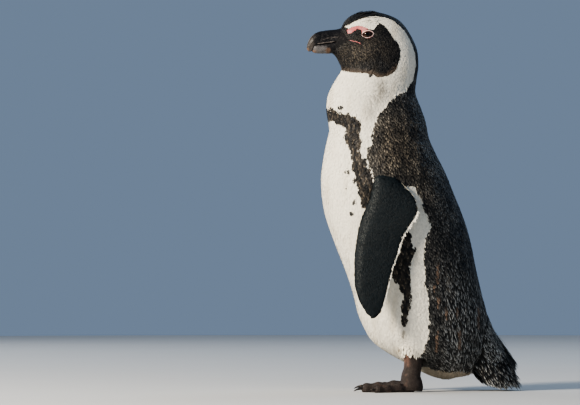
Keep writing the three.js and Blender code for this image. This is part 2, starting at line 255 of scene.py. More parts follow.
def mesh_points(mesh: Mesh) -> Array:
    """A mesh's vertices as an (N, 3) array."""
    flat = np.empty(len(mesh.vertices) * 3, np.float32)
    mesh.vertices.foreach_get("co", flat)
    return flat.reshape(-1, 3).astype(float)


def store(mesh: Mesh, name: str, values: Array, alpha: Array | float = 1.0) -> None:
    """Stores one number or one colour for each vertex of a mesh.

    Args:
        mesh: the mesh.
        name: the attribute's name.
        values: (N,) numbers or (N, 3) colours.
        alpha: a fourth number to go with each colour.
    """
    kind, key = ("FLOAT", "value") if values.ndim == 1 else ("FLOAT_COLOR", "color")
    if values.ndim > 1:
        values = np.concatenate([values, np.broadcast_to(alpha, (len(values), 1))], -1)
    mesh.attributes.new(name, kind, "POINT").data.foreach_set(key, values.astype(np.float32).ravel())


def unwrap(mesh: Mesh, **maps: Array) -> None:
    """Stores UV maps, given by name as (N, 2) coordinates of the mesh's vertices."""
    order = np.empty(len(mesh.loops), np.int32)
    mesh.loops.foreach_get("vertex_index", order)
    for name, places in maps.items():
        layer = mesh.uv_layers.new(name=name)
        layer.data.foreach_set("uv", places[order].astype(np.float32).ravel())


def settle(obj: Object) -> None:
    """Turns an object's live modifiers into its mesh."""
    graph = bpy.context.evaluated_depsgraph_get()
    done = bpy.data.meshes.new_from_object(obj.evaluated_get(graph))
    obj.modifiers.clear()
    old, obj.data = obj.data, done
    bpy.data.meshes.remove(old)
    done.name = obj.name


def sweep(path: Array, side: Array, lift: Array, up: Array, count: int, square: float = 2.0) -> Shell:
    """Oval sections carried along a path.

    Each section lies across the path: `side` times the cosine of the angle across, `lift` times the sine
    along the up direction made square to the path. A `square` above 2 makes the oval boxier.

    Args:
        path: (R, 3) middles of the sections.
        side: (R,) half widths.
        lift: (R,) half heights.
        up: (3,) or (R, 3) rough direction of the height.
        count: points round a section.
        square: power of the oval.

    Returns:
        The closed tube.
    """
    along = unit(np.gradient(path, axis=0))
    across = unit(np.cross(along, np.broadcast_to(up, path.shape)))
    raised = np.cross(across, along)
    angle = circle(count)
    c, s = (np.sign(f) * np.abs(f) ** (2.0 / square) for f in (np.cos(angle), np.sin(angle)))
    rings = (
        path[:, None]
        + across[:, None] * (side[:, None] * c)[..., None]
        + raised[:, None] * (lift[:, None] * s)[..., None]
    )
    return Shell.tube(rings)


class Inside:
    """Tells which places lie inside a closed mesh."""

    def __init__(self, shell: Shell) -> None:
        """Keeps a search tree of the shell's faces."""
        faces = [tuple(int(i) for i in f) for f in shell.quads] + [tuple(int(i) for i in f) for f in shell.tris]
        self.tree = BVHTree.FromPolygons([tuple(p) for p in shell.points], faces)

    def depth(self, places: Array, reach: float = 30 * MM) -> Array:
        """Signed depth under the surface.

        Args:
            places: (N, 3) in metres.
            reach: places further off count as outside.

        Returns:
            (N,) metres, positive inside.
        """
        found = [self.tree.find_nearest(Vector(p), reach) for p in places]
        return np.array([-reach if f[0] is None else (f[0] - Vector(p)).dot(f[1]) for p, f in zip(places, found)])


# ---- forms
class Form(Protocol):
    """A surface with a lie: `t` runs against the lie of the feathers and `angle` runs round."""

    def at(self, t: Array, angle: Array, inset: Array | float = 0.0) -> Array:
        """Points of the surface.

        Args:
            t: millimetres against the lie of the feathers.
            angle: radians round the form; 0 is dorsal or trailing, pi is ventral or leading.
            inset: how far the points are moved inwards, in metres.

        Returns:
            The points in metres, with a last axis of length 3.
        """


@dataclass(eq=False)
class Loft:
    """A body through rings, each in the plane that holds its ventral point, its dorsal point and X.

    A ring is an oval of a given squareness whose widest place sits at a share of the way from the ventral
    to the dorsal point. Rows: ventral y, z, dorsal y, z, half width, seat, squareness, in millimetres.
    A squareness given for the dorsal or the ventral half alone replaces the row's there.
    """

    stations: Array
    dorsal: float | None = None
    ventral: float | None = None

    @cached_property
    def knots(self) -> Array:
        """Place of each station: the mean distance travelled by the ventral and the dorsal line, in mm."""
        moves = np.diff(self.stations[:, :4], axis=0)
        steps = (np.hypot(moves[:, 0], moves[:, 1]) + np.hypot(moves[:, 2], moves[:, 3])) / 2
        return np.concatenate([[0.0], np.cumsum(steps)])

    def at(self, t: Array, angle: Array, inset: Array | float = 0.0) -> Array:
        """Points as a Form gives them; t runs from the first station to the last."""
        t, angle = np.broadcast_arrays(np.asarray(t, float), np.asarray(angle, float))
        cols = smooth_columns(self.knots, self.stations, t) * MM
        ay, az, by, bz, width = (cols[..., i] for i in range(5))
        seat, power = cols[..., 5] / MM, cols[..., 6] / MM
        length = np.hypot(by - ay, bz - az)
        uy, uz = (by - ay) / length, (bz - az) / length
        c, n = np.cos(angle), np.sin(angle)
        power = np.where(c >= 0, self.dorsal or power, self.ventral or power)
        reach = np.where(c >= 0, (1 - seat) * length, seat * length) - inset
        along = seat * length + reach * np.sign(c) * np.abs(c) ** (2 / power)
        wide = (width - inset) * np.sign(n) * np.abs(n) ** (2 / power)
        return np.stack([wide, ay + uy * along, az + uz * along], -1)


def table(*rows: Sequence[float]) -> Array:
    """A dataclass field that holds rows of numbers as an array."""
    return field(default_factory=lambda: np.array(rows, float))


def lofted(*rows: Sequence[float], **halves: float) -> Loft:
    """A dataclass field that holds a loft through the rows, with the squareness of one half set apart."""
    return field(default_factory=lambda: Loft(np.array(rows, float), **halves))


@dataclass(frozen=True)
class Swell:
    """A soft rise (or, with a negative height, a hollow) on both sides of the body, in millimetres."""

    x: float
    y: float
    z: float
    radius: float
    height: float

    def lift(self, points: Array) -> Array:
        """Height over the body at the points, in metres: height times exp(-(distance / radius)^2)."""
        centre = np.array([self.x, self.y, self.z]) * MM
        folded = np.stack([np.abs(points[..., 0]), points[..., 1], points[..., 2]], -1)
        gap = np.linalg.norm(folded - centre, axis=-1) / (self.radius * MM)
        return self.height * MM * np.exp(-gap * gap)


@dataclass(eq=False)
class BodyForm:
    """Trunk, neck and head as one flowing form, from the under-tail bulge to the base of the bill."""

    loft: Loft = lofted(
        [40, 19.6, 52, 19.8, 7, 0.5, 2.0],
        [30, 21.2, 65, 21.5, 19.5, 0.5, 2.0],
        [14, 27, 86, 27, 33, 0.5, 2.0],
        [-8, 39, 97, 41, 48, 0.48, 2.1],
        [-38, 54, 104, 60, 60, 0.47, 2.2],
        [-61, 73, 107, 80, 68, 0.46, 2.2],
        [-77.5, 104, 105, 106, 75, 0.46, 2.2],
        [-86, 136, 97, 138, 79, 0.47, 2.2],
        [-98.5, 173, 89.5, 173, 82, 0.48, 2.2],
        [-116.5, 219, 80.5, 219, 83, 0.5, 2.2],
        [-129.5, 264, 64.5, 264.5, 81.5, 0.52, 2.2],
        [-133, 306, 47.5, 306.5, 77, 0.53, 2.15],
        [-128, 342, 30, 343, 68, 0.53, 2.1],
        [-124.8, 357, 23, 359, 62.5, 0.52, 2.1],
        [-121.5, 372, 19.8, 374, 57, 0.52, 2.05],
        [-123.2, 386, 17, 388, 52.8, 0.5, 2.0],
        [-125.5, 401, 11.5, 403, 49, 0.5, 2.0],
        [-123, 424, 3, 428, 44, 0.5, 2.0],
        [-114.5, 441, 5, 448, 40, 0.5, 2.0],
        [-105, 456, 7.5, 468, 37.3, 0.5, 2.0],
        [-103.5, 462.5, 6, 487, 36, 0.48, 2.0],
        [-106, 467.5, -2, 507, 34.4, 0.46, 2.05],
        [-107.8, 471.5, -19, 530, 31.4, 0.46, 2.1],
        [-109.5, 475, -47, 541.5, 28, 0.46, 2.1],
        [-111.5, 478, -73, 542.5, 24, 0.46, 2.1],
        [-113.5, 480.5, -90, 537, 19.3, 0.46, 2.1],
        [-116, 482.3, -99.5, 528, 15.6, 0.46, 2.1],
        [-119.3, 483.6, -103, 519.3, 12.8, 0.46, 2.1],
    )
    swells: tuple[Swell, ...] = (
        Swell(50, 14, 62, 34, 4.0),  # thighs
        Swell(0, -34, 56, 20, -3.5),  # furrow between the thighs
        Swell(74, -50, 306, 22, 5.0),  # shoulders
        Swell(30, -62, 480, 18, 1.2),  # cheeks
        Swell(22, -72, 527, 12, 0.9),  # brows
        Swell(18, -96, 503, 10, -0.8),  # lores
        Swell(30, -68, 508.5, 9, -0.8),  # round the eyes
    )
    depths: tuple[float, ...] = (3.0,) * 15 + (2.9, 2.8, 2.6, 2.3, 2.0, 1.8, 1.6, 1.4, 1.2, 1.05, 0.9, 0.75, 0.5)
    pitches: tuple[float, ...] = (2.65,) * 15 + (2.6, 2.5, 2.4, 2.2, 2.05, 1.9, 1.7, 1.55, 1.4, 1.3, 1.2, 1.1, 1.0)

    def reading(self, values: Sequence[float], t: Array) -> Array:
        """A per-station list read at places t, in a straight line between stations."""
        return np.interp(t, self.loft.knots, values)

    def coat_depth(self, t: Array) -> Array:
        """Height of the feather tips over the skin, in metres."""
        return self.reading(self.depths, t) * MM

    def pitch(self, t: Array) -> Array:
        """Distance between feather rows, in metres."""
        return self.reading(self.pitches, t) * MM

    def at(self, t: Array, angle: Array, inset: Array | float = 0.0) -> Array:
        """Points of the plumage's outer surface with its swells and soft unevenness, moved in by `inset`."""
        plain = self.loft.at(t, angle)
        rise = sum(swell.lift(plain) for swell in self.swells)
        trunk = 1 - step(330 * MM, 430 * MM, plain[..., 2])
        tufts = ripple(plain, 26, 5, (1.0, 1.0, 0.35)) * 0.45 * MM * (0.3 + 0.7 * trunk)
        return self.loft.at(t, angle, inset - rise - tufts)


@dataclass(eq=False)
class TailForm:
    """The tail: a core that carries on from the rump, and the arch of stiff quills that leaves it."""

    loft: Loft = lofted(
        [58, 62, 90, 142, 48, 0.5, 2.0],
        [67, 46, 102, 116, 42, 0.5, 2.0],
        [76, 36, 112, 92, 35.5, 0.48, 2.0],
        [85, 29, 122, 73, 31, 0.46, 2.0],
        [93, 23, 130, 59, 26, 0.45, 2.0],
        [99, 20, 133.5, 51, 21, 0.45, 2.0],
    )
    arch: Array = table(  # place, root x, y, z, tip x, y, z
        [0, 0, 112, 86, 0, 151.8, 33.5],
        [0.22, 9, 110, 80, 9, 149.5, 23],
        [0.42, 16, 107, 70, 17, 153.6, 1.2],
        [0.6, 22, 102, 60, 24, 140, 1.2],
        [0.8, 27, 93, 50, 30, 121, 1.4],
        [1, 29, 82, 44, 33, 103, 9],
    )
    coat: float = 2.6

    @property
    def length(self) -> float:
        """Length of the core's own line, in millimetres."""
        return float(self.loft.knots[-1])

    def at(self, t: Array, angle: Array, inset: Array | float = 0.0) -> Array:
        """Points of the core; t runs from the tip end (0) up to the rump, against the lie."""
        return self.loft.at(self.length - np.asarray(t, float), angle, inset)

    def quill(self, place: Array) -> tuple[Array, Array]:
        """Root and tip of the quills at places from -1 on one side of the arch to 1 on the other."""
        cols = smooth_columns(self.arch[:, 0], self.arch[:, 1:], np.abs(place)) * MM
        side = np.where(place < 0, -1.0, 1.0)
        root = np.stack([cols[..., 0] * side, cols[..., 1], cols[..., 2]], -1)
        tip = np.stack([cols[..., 3] * side, cols[..., 4], cols[..., 5]], -1)
        return root, tip


@dataclass(eq=False)
class FlipperForm:
    """A flipper: level slices of a blade from the shoulder to the tip."""

    sign: float
    swing: float = 0.0  # degrees it is swung back about the shoulder line
    slices: Array = table(  # z, leading edge y, trailing edge y, middle x, thickness
        [318, -60, -46, 62, 11],
        [310, -64.5, -41, 70, 15],
        [299, -66, -32, 78, 19],
        [288, -68, -22, 81.5, 18],
        [277, -71, -12.5, 84.5, 16.5],
        [266, -74.5, -7.6, 87, 15],
        [255, -79.5, -7, 89, 14],
        [244, -84, -11.5, 90.5, 13],
        [230, -88, -21.5, 92, 12.5],
        [215, -91, -29.5, 93, 12],
        [198, -93.5, -34.5, 94, 11.5],
        [180, -94.6, -41, 95, 10.5],
        [162, -94.5, -46, 96, 9.5],
        [145, -93, -50, 97, 8.5],
        [130, -88, -54, 98, 7.5],
        [118, -81.5, -58, 98.5, 6.5],
        [110, -76, -62.5, 99, 5],
        [106.8, -71.5, -66.5, 99.2, 2.6],
    )
    twist: float = 0.16
    shoulder: tuple[float, float] = (-50.0, 300.0)
    coat: float = 0.9

    @property
    def length(self) -> float:
        """Height from the lowest to the highest slice, in millimetres."""
        return float(self.slices[0, 0] - self.slices[-1, 0])

    def at(self, t: Array, angle: Array, inset: Array | float = 0.0) -> Array:
        """Points as a Form gives them; t runs from the tip up to the shoulder.

        The chord follows the cosine of the angle; the thickness follows the sine, fuller towards the
        leading edge. The leading edge lies nearer the body by `twist` of the chord.
        """
        t, angle = np.broadcast_arrays(np.asarray(t, float), np.asarray(angle, float))
        low = self.slices[-1, 0]
        cols = smooth_columns(self.slices[::-1, 0] - low, self.slices[::-1, 1:], t) * MM
        lead, trail, middle, thick = (cols[..., i] for i in range(4))
        half = np.maximum((trail - lead) / 2 - inset, 0.4 * MM)
        chord = np.cos(angle)
        swell = np.sin(angle) * (0.78 - 0.3 * chord) * np.maximum(thick / 2 - inset, 0.4 * MM)
        z = (low + t) * MM + inset * (1 - step(0, 12, t))
        x = middle + chord * half * self.twist + swell
        return self.posed(np.stack([x, (lead + trail) / 2 + chord * half, z], -1))

    def posed(self, points: Array) -> Array:
        """Points of the left hanging flipper brought to this flipper's side and swing."""
        y0, z0 = self.shoulder[0] * MM, self.shoulder[1] * MM
        y, z = turned(points[..., 1] - y0, points[..., 2] - z0, self.swing)
        return np.stack([points[..., 0] * self.sign, y0 + y, z0 + z], -1)


@dataclass(frozen=True)
class Toe:
    """A toe: length to the claw, heading outwards, half width and height at root and end, claw length."""

    length: float
    heading: float
    root: tuple[float, float]
    end: tuple[float, float]
    claw: float
    lift: float = 0.0


class Side(Enum):
    """A side of the bird: the sign of X, how far back its foot stands (mm) and its flipper's swing."""

    LEFT = ("left", 1.0, 0.0, 0.0)
    RIGHT = ("right", -1.0, 10.0, 13.0)

    def __init__(self, label: str, sign: float, step_back: float, swing: float) -> None:
        """Names the four values."""
        self.label, self.sign, self.step_back, self.swing = label, sign, step_back, swing


@dataclass(eq=False)
class FootForm:
    """A leg and a webbed foot with three front toes and a small hind toe."""

    side: Side
    ankle: tuple[float, float] = (42.0, -7.0)
    rings: Array = table(  # z, y, half width, half depth
        [2, -8.5, 11.5, 15.5],
        [7, -8.2, 13, 16.4],
        [13, -8.2, 12.8, 15.4],
        [20, -8.6, 11.6, 13.8],
        [28, -7.2, 11.4, 12.2],
        [38, -5.9, 12.2, 12.6],
        [48, -5.2, 14.2, 14.6],
        [58, -6.5, 17, 18.5],
        [70, -9, 19, 21],
    )
    toes: dict[str, Toe] = field(
        default_factory=lambda: {
            "inner": Toe(52, -0.3, (7, 14), (5, 8.5), 13),
            "middle": Toe(70, 0.05, (8, 15.5), (5.2, 9), 14.5),
            "outer": Toe(59, 0.4, (7.2, 14.5), (5, 8.5), 13),
            "hallux": Toe(15, -1.0, (4, 9), (2.6, 5.5), 8, 3),
        }
    )

    def stood(self, points: Array) -> Array:
        """Points of a left foot in millimetres brought to this side, in metres."""
        shift = np.array([0.0, self.side.step_back, 0.0])
        return (points + shift) * np.array([self.side.sign, 1.0, 1.0]) * MM

    def along(self, toe: Toe, share: Array, height: Array) -> Array:
        """Places over a toe's line from the ankle (0) to the claw's root (1)."""
        x = self.ankle[0] + toe.length * share * math.sin(toe.heading)
        y = self.ankle[1] - toe.length * share * math.cos(toe.heading)
        return np.stack(np.broadcast_arrays(x, y, height), -1)

    def toe(self, toe: Toe) -> Shell:
        """A toe with swollen joints and a soft pad under its end, flattened on the floor.

        Args:
            toe: its sizes.

        Returns:
            The closed toe, in millimetres.
        """
        share = np.linspace(0, 1.035, 56)
        knobs = sum(np.exp(-(((share - k) / 0.075) ** 2)) for k in (0.38, 0.7, 0.95))
        wrinkle = 0.012 * np.sin(share * toe.length * 2.6)
        size = (0.9 + 0.17 * knobs + wrinkle) * (1 - 0.5 * step(0.96, 1.035, share))
        height = blend(toe.root[1], toe.end[1], share) * size
        width = blend(toe.root[0], toe.end[0], share) * size
        path = self.along(toe, share, height * 0.42 + toe.lift)
        shell = sweep(path, width, height * 0.58, np.array([0, 0, 1.0]), 28)
        return shell.moved(lambda p: np.maximum(p, [-np.inf, -np.inf, 0.0]))

    def web(self, first: Toe, second: Toe) -> Shell:
        """The skin between two toes: a thin plate, thicker at the ankle, its front edge hanging back.

        Across runs from one toe's line to the other's, down runs from the ankle to the edge; the edge
        draws back by a parabola across the web. The plate sags a little in its middle.

        Args:
            first: the toe on one side.
            second: the toe on the other.

        Returns:
            The closed plate, in millimetres.
        """
        across, down = np.meshgrid(np.linspace(0, 1, 25), np.linspace(0.05, 1, 36), indexing="ij")
        hang = 1.0 - 0.14 * 4 * across * (1 - across)
        a = self.along(first, down * hang, 0.0 * down)
        b = self.along(second, down * hang, 0.0 * down)
        flat = blend(a, b, across[..., None])
        top = blend(5.0, 2.6, down) - 0.8 * 4 * across * (1 - across)
        folds = 0.28 * np.sin(across * 26 + down * 2) * step(0.1, 0.5, down)
        upper, lower = flat.copy(), flat.copy()
        upper[..., 2] = top + folds
        lower[..., 2] = 0.3
        loop = np.concatenate([upper, lower[::-1]])
        return Shell.tube(loop.transpose(1, 0, 2))

    def leg(self) -> Shell:
        """The tarsus from the sole up into the belly's plumage."""
        table = self.rings
        z = np.linspace(table[0, 0], table[-1, 0], 60)
        y, width, depth = smooth_columns(table[:, 0], table[:, 1:], z).T
        path = np.stack([np.full_like(z, self.ankle[0]), y, z], -1)
        ridges = 1 + 0.008 * np.sin(z * 2.4)
        return sweep(path, width * ridges, depth * ridges, np.array([0, -1.0, 0]), 40, 2.15)

    def claw(self, toe: Toe) -> Shell:
        """A curved claw, thick at its root and running to a blunt point near the floor.

        Args:
            toe: the toe that carries it.

        Returns:
            The closed claw, in millimetres.
        """
        arch = np.array(
            [[-0.12, 0.52, 0.42], [0.2, 0.57, 0.4], [0.5, 0.5, 0.3], [0.8, 0.32, 0.18], [0.97, 0.16, 0.07]]
        )
        place = np.linspace(-0.12, 0.97, 26)
        rise, size = smooth_columns(arch[:, 0], arch[:, 1:], place).T
        width, height = toe.end
        path = self.along(toe, 1 + place * toe.claw / toe.length, height * rise + toe.lift + 0.2)
        shell = sweep(path, width * size * 1.15, height * size * 0.6, np.array([0, 0, 1.0]), 18)
        return shell.moved(lambda p: np.maximum(p, [-np.inf, -np.inf, 0.05]))

    def flesh(self) -> Shell:
        """Leg, toes and webs side by side in one shell, placed in the scene."""
        toes = list(self.toes.values())
        parts = [self.leg(), *(self.toe(toe) for toe in toes)]
        parts += [self.web(toes[0], toes[1]), self.web(toes[1], toes[2])]
        parts = [part.moved(self.stood) for part in parts]
        return Shell.joined(parts)


# ---- markings
@dataclass(frozen=True)
class Elevation:
    """The side elevation that the markings are drawn on, and the place it is seen from, in millimetres."""

    eye: tuple[float, float, float] = (3985.97, -512.19, 160.0)
    forward: tuple[float, float, float] = (-0.99612, 0.08365, 0.02731)
    focal_px: float = 2801.04  # focal length in pixels of the image
    origin: tuple[float, float] = (413.8, 391.0)
    scale: float = 0.7  # pixels to a millimetre in the plane of symmetry

    @cached_property
    def axes(self) -> tuple[Array, Array, Array]:
        """Right, up and forward unit vectors of the view."""
        forward = unit(np.array(self.forward))
        right = unit(np.cross(forward, [0.0, 0.0, 1.0]))
        return right, np.cross(right, forward), forward

    def of(self, points: Array) -> Array:
        """Where points are seen on the elevation, both sides of the bird alike.

        Args:
            points: (..., 3) in metres.

        Returns:
            (..., 2) millimetres backwards and upwards.
        """
        right, up, forward = self.axes
        folded = np.stack([np.abs(points[..., 0]), points[..., 1], points[..., 2]], -1)
        ray = folded / MM - np.array(self.eye)
        depth = ray @ forward
        px = FRAME_PX[0] / 2 + self.focal_px * (ray @ right) / depth
        py = FRAME_PX[1] / 2 - self.focal_px * (ray @ up) / depth
        return np.stack([(px - self.origin[0]) / self.scale, (self.origin[1] - py) / self.scale], -1)


@dataclass(eq=False)
class Markings:
    """The black and white pattern, drawn on the side elevation, alike on both sides."""

    elevation: Elevation = field(default_factory=Elevation)
    mask: Array = table(
        (-58, 516), (-49, 526), (-42, 522), (-34, 512), (-28, 502), (-22, 496), (-19, 487), (-20, 473), (-25, 460),
        (-31, 453), (-41, 449), (-52, 448), (-59, 453), (-71, 454), (-90, 455), (-101, 457), (-111, 461),
        (-123, 476), (-131, 484), (-131, 501), (-112, 520), (-104, 525), (-98.5, 521), (-93, 517), (-88, 517.5),
        (-81, 518.5), (-75, 519), (-66, 517),
    )  # fmt: skip
    mantle: Array = table(
        (-108, 520), (-98, 521), (-91, 524), (-84, 528), (-77, 531), (-65, 535), (-53, 535), (-41, 534), (-28, 528),
        (-18, 519), (-10, 511), (-4, 504), (0, 496), (4, 487), (5, 478), (4, 468), (1, 453), (-1, 441), (-9, 433),
        (-11, 427), (-20, 425), (-29, 417), (-37, 411), (-42, 403), (-50, 393), (-54, 385), (-57, 377), (-58, 367),
        (-61, 361), (-58, 352), (-67, 346), (-67, 332), (-63, 322), (-60, 317), (-57, 306), (-50, 295), (-31, 290),
        (-20, 290), (-11, 291), (-1, 292.5), (3.6, 289), (4.6, 280), (10.4, 275), (12.7, 268), (16.6, 256),
        (22, 248), (23.5, 233), (19, 221), (16, 209), (15, 190), (16, 171), (17, 153), (20, 134), (21, 116),
        (22, 97), (21, 76), (15, 57), (6, 48), (10, 36), (33, 29), (59, 27), (80, 26), (109, -13), (209, -13),
        (209, 559), (-120, 559),
    )  # fmt: skip
    band: Array = table(
        (-125, 403), (-117, 403), (-109, 397), (-101, 396), (-93, 395), (-84, 391), (-77, 385), (-75, 381),
        (-77, 373), (-78, 366), (-75, 353), (-78, 344), (-75, 334), (-70, 328), (-65, 320), (-61, 310), (-54, 290),
        (-45, 264), (-34, 236), (-20, 216), (-10, 227), (-4, 223), (-4, 209), (2.6, 200), (0, 193), (-4, 186),
        (-5, 171), (-6, 154), (-4, 140), (-4, 130), (-6.5, 120), (-8, 111), (-11, 96), (-15, 90), (-18.7, 101),
        (-16.3, 113), (-17.5, 123), (-14, 131), (-14.5, 139), (-20, 141), (-21, 152), (-29, 159), (-33, 167),
        (-31, 184), (-41, 209), (-54, 237), (-64, 263), (-72, 259), (-73, 262), (-76, 273), (-80, 281), (-80, 291),
        (-86, 300), (-82, 307), (-88, 315), (-87, 326), (-90, 335), (-91, 346), (-97, 353), (-100, 363), (-96, 371),
        (-97, 377), (-104, 380), (-112, 380), (-114, 386), (-125, 385), (-148, 385), (-148, 403),
    )  # fmt: skip
    nape: tuple[float, float, float, float] = (15.5, -28.0, 522.0, 392.0)  # half width, front, crown, foot
    spots: tuple[tuple[float, float, float], ...] = (
        (-105, 404, 3.1), (-95, 313, 2.8), (-86, 269, 2.4), (-62, 450, 2.2), (-88, 253, 1.8), (-97, 289, 1.5),
    )  # fmt: skip
    streaks: tuple[tuple[float, float, float], ...] = (
        (35, 154, 183), (29.6, 141, 149), (35.6, 117, 131), (46.9, 102, 114), (93.2, 90, 118), (66.5, 58, 83),
        (33.8, 56, 84), (62, 106, 116),
    )  # fmt: skip
    horn: Array = table(
        (-106, 518.5), (-103, 515.5), (-100, 511), (-96.5, 506.5), (-94.5, 502), (-95, 499.5), (-99, 496),
        (-105, 492), (-111, 487), (-115.5, 481.5), (-140, 465), (-140, 535), (-112, 522),
    )  # fmt: skip
    brow: Array = table(
        (-96.1, 516.4), (-91.9, 518.6), (-86.0, 521.3), (-81.1, 522.6), (-76.6, 522.7), (-69.3, 520.6),
        (-61.0, 515.4), (-58.0, 512.0), (-58.0, 507.0), (-63.6, 503.0), (-71.1, 503.6), (-74.3, 508.9),
        (-74.9, 514.6), (-78.7, 516.6), (-82.6, 515.4), (-86.0, 513.4), (-90.4, 510.3), (-93.7, 509.1),
    )  # fmt: skip
    gape: Array = table(
        (-92.5, 502.9), (-86.9, 501.8), (-79.8, 500.6), (-74.6, 495.6), (-76.2, 494.0), (-81.3, 497.3),
        (-87.1, 498.6), (-92.0, 499.6),
    )  # fmt: skip

    def dark(self, points: Array) -> Array:
        """Depth inside the black markings: the largest depth in any of them.

        Args:
            points: (N, 3) in metres.

        Returns:
            (N,) millimetres.
        """
        u, v = self.elevation.of(points).T
        depth = [self.inside(points, self.mask, self.mantle, self.band)]
        depth += [radius - np.hypot(u - at_u, v - at_v) for at_u, at_v, radius in self.spots]
        half_width, front, crown, foot = self.nape
        stripe = np.minimum(half_width - np.abs(points[:, 0]) / MM, np.maximum(u - front, v - crown))
        return np.max([*depth, np.minimum(stripe, v - foot)], axis=0)

    def inside(self, points: Array, *outlines: Array) -> Array:
        """Depth inside any of the outlines, in millimetres."""
        at = self.elevation.of(points)
        return np.max([polygon_depth(at, outline) for outline in outlines], axis=0)

    def face(self, points: Array) -> Array:
        """Depth inside the face mask alone, in millimetres."""
        return self.inside(points, self.mask)

    def worn(self, points: Array) -> Array:
        """How near points lie to the worn rufous streaks: the distance in millimetres to the nearest."""
        at = self.elevation.of(points)
        gaps = [np.hypot(at[:, 0] - u, at[:, 1] - at[:, 1].clip(low, high)) for u, low, high in self.streaks]
        return np.min(gaps, axis=0)

    def horny(self, points: Array) -> Array:
        """Depth inside the horny base of the bill, which spreads over the face, in millimetres."""
        return self.inside(points, self.horn)

    def bare(self, points: Array) -> Array:
        """Depth inside the bare pink skin of brow and gape, in millimetres."""
        return self.inside(points, self.brow, self.gape)


# ---- materials
@dataclass(frozen=True)
class Val:
    """A number socket that can be used in sums; each operation adds a Math node."""

    shader: Shader
    socket: NodeSocket

    def math(self, operation: str, *terms: Val | float) -> Val:
        """One Math node over the given terms."""
        return self.shader.node("ShaderNodeMath", {"operation": operation}, dict(enumerate(terms)))

    def __add__(self, other: Val | float) -> Val:
        """Sum."""
        return self.math("ADD", self, other)

    def __mul__(self, other: Val | float) -> Val:
        """Product."""
        return self.math("MULTIPLY", self, other)

    def __sub__(self, other: Val | float) -> Val:
        """Difference."""
        return self.math("SUBTRACT", self, other)

    def __rsub__(self, other: Val | float) -> Val:
        """Difference, the other way round."""
        return self.math("SUBTRACT", other, self)

    __radd__, __rmul__ = __add__, __mul__

    def __abs__(self) -> Val:
        """Size without sign."""
        return self.math("ABSOLUTE", self)

    def sine(self) -> Val:
        """Sine of the value in radians."""
        return self.math("SINE", self)

    def rise(self, low: float, high: float) -> Val:
        """A smooth rise from 0 at low to 1 at high."""
        return self.shader.node(
            "ShaderNodeMapRange",
            {"interpolation_type": "SMOOTHSTEP"},
            {"Value": self, "From Min": low, "From Max": high},
        )


class Shader:
    """A material under construction."""

    def __init__(self, name: str) -> None:
        """Starts a material with one Principled surface."""
        self.material = bpy.data.materials.new(name)
        self.material.use_nodes = True
        self.tree = self.material.node_tree
        self.tree.nodes.clear()
        self.surface = self.tree.nodes.new("ShaderNodeBsdfPrincipled")
        output = self.tree.nodes.new("ShaderNodeOutputMaterial")
        self.tree.links.new(self.surface.outputs[0], output.inputs["Surface"])

    def feed(self, socket: NodeSocket, value: object) -> None:
        """Links or sets a socket.

        Args:
            socket: the socket.
            value: a Val to link, or a plain number or colour to set.
        """
        if isinstance(value, Val):
            self.tree.links.new(value.socket, socket)
        elif isinstance(value, tuple) and socket.type == "RGBA":
            socket.default_value = (*value, 1.0)[:4]
        else:
            socket.default_value = value

    def node(self, kind: str, settings: dict | None = None, inputs: dict | None = None, output: object = 0) -> Val:
        """Adds a node.

        Args:
            kind: the node's type.
            settings: properties of the node, set first.
            inputs: socket name or number to a value or link.
            output: name or number of the output wanted.

        Returns:
            That output.
        """
        made = self.tree.nodes.new(kind)
        for key, value in (settings or {}).items():
            setattr(made, key, value)
        for key, value in (inputs or {}).items():
            self.feed(made.inputs[key], value)
        return Val(self, made.outputs[output])

    def attribute(self, name: str, output: str) -> Val:
        """A stored attribute of the mesh."""
        return self.node("ShaderNodeAttribute", {"attribute_name": name}, output=output)

    def place(self) -> Val:
        """Object coordinates, in metres."""
        return self.node("ShaderNodeTexCoord", output="Object")

    def stretched(self, scale: Colour) -> Val:
        """Object coordinates multiplied by a scale on each axis."""
        return self.node("ShaderNodeMapping", {"vector_type": "POINT"}, {"Vector": self.place(), "Scale": scale})

    def noise(self, where: Val, scale: float, detail: float = 2.0) -> Val:
        """Soft noise from 0 to 1."""
        return self.node("ShaderNodeTexNoise", {}, {"Vector": where, "Scale": scale, "Detail": detail}, "Fac")

    def cells(self, where: Val, scale: float, feature: str) -> Val:
        """Cell pattern."""
        return self.node("ShaderNodeTexVoronoi", {"feature": feature}, {"Vector": where, "Scale": scale}, "Distance")

    def mix(self, share: Val | float, a: Val | Colour, b: Val | Colour, how: str = "MIX") -> Val:
        """Colour a where share is 0 and b where it is 1."""
        return self.node("ShaderNodeMix", {"data_type": "RGBA", "blend_type": how}, {0: share, 6: a, 7: b}, 2)

    def shaded(self, colour: Val | Colour, share: Val) -> Val:
        """A colour multiplied by a grey of the given share."""
        grey = self.node("ShaderNodeCombineColor", {}, {0: share, 1: share, 2: share})
        return self.mix(1.0, colour, grey, "MULTIPLY")

    def bump(self, height: Val, strength: float, distance: float) -> Val:
        """A surface normal from a height."""
        inputs = {"Height": height, "Strength": strength, "Distance": distance}
        return self.node("ShaderNodeBump", {}, inputs, "Normal")

    def done(self, **values: object) -> Material:
        """Feeds the Principled surface: keyword Base_Color stands for socket Base Color, and so on."""
        for key, value in values.items():
            self.feed(self.surface.inputs[key.replace("_", " ")], value)
        return self.material


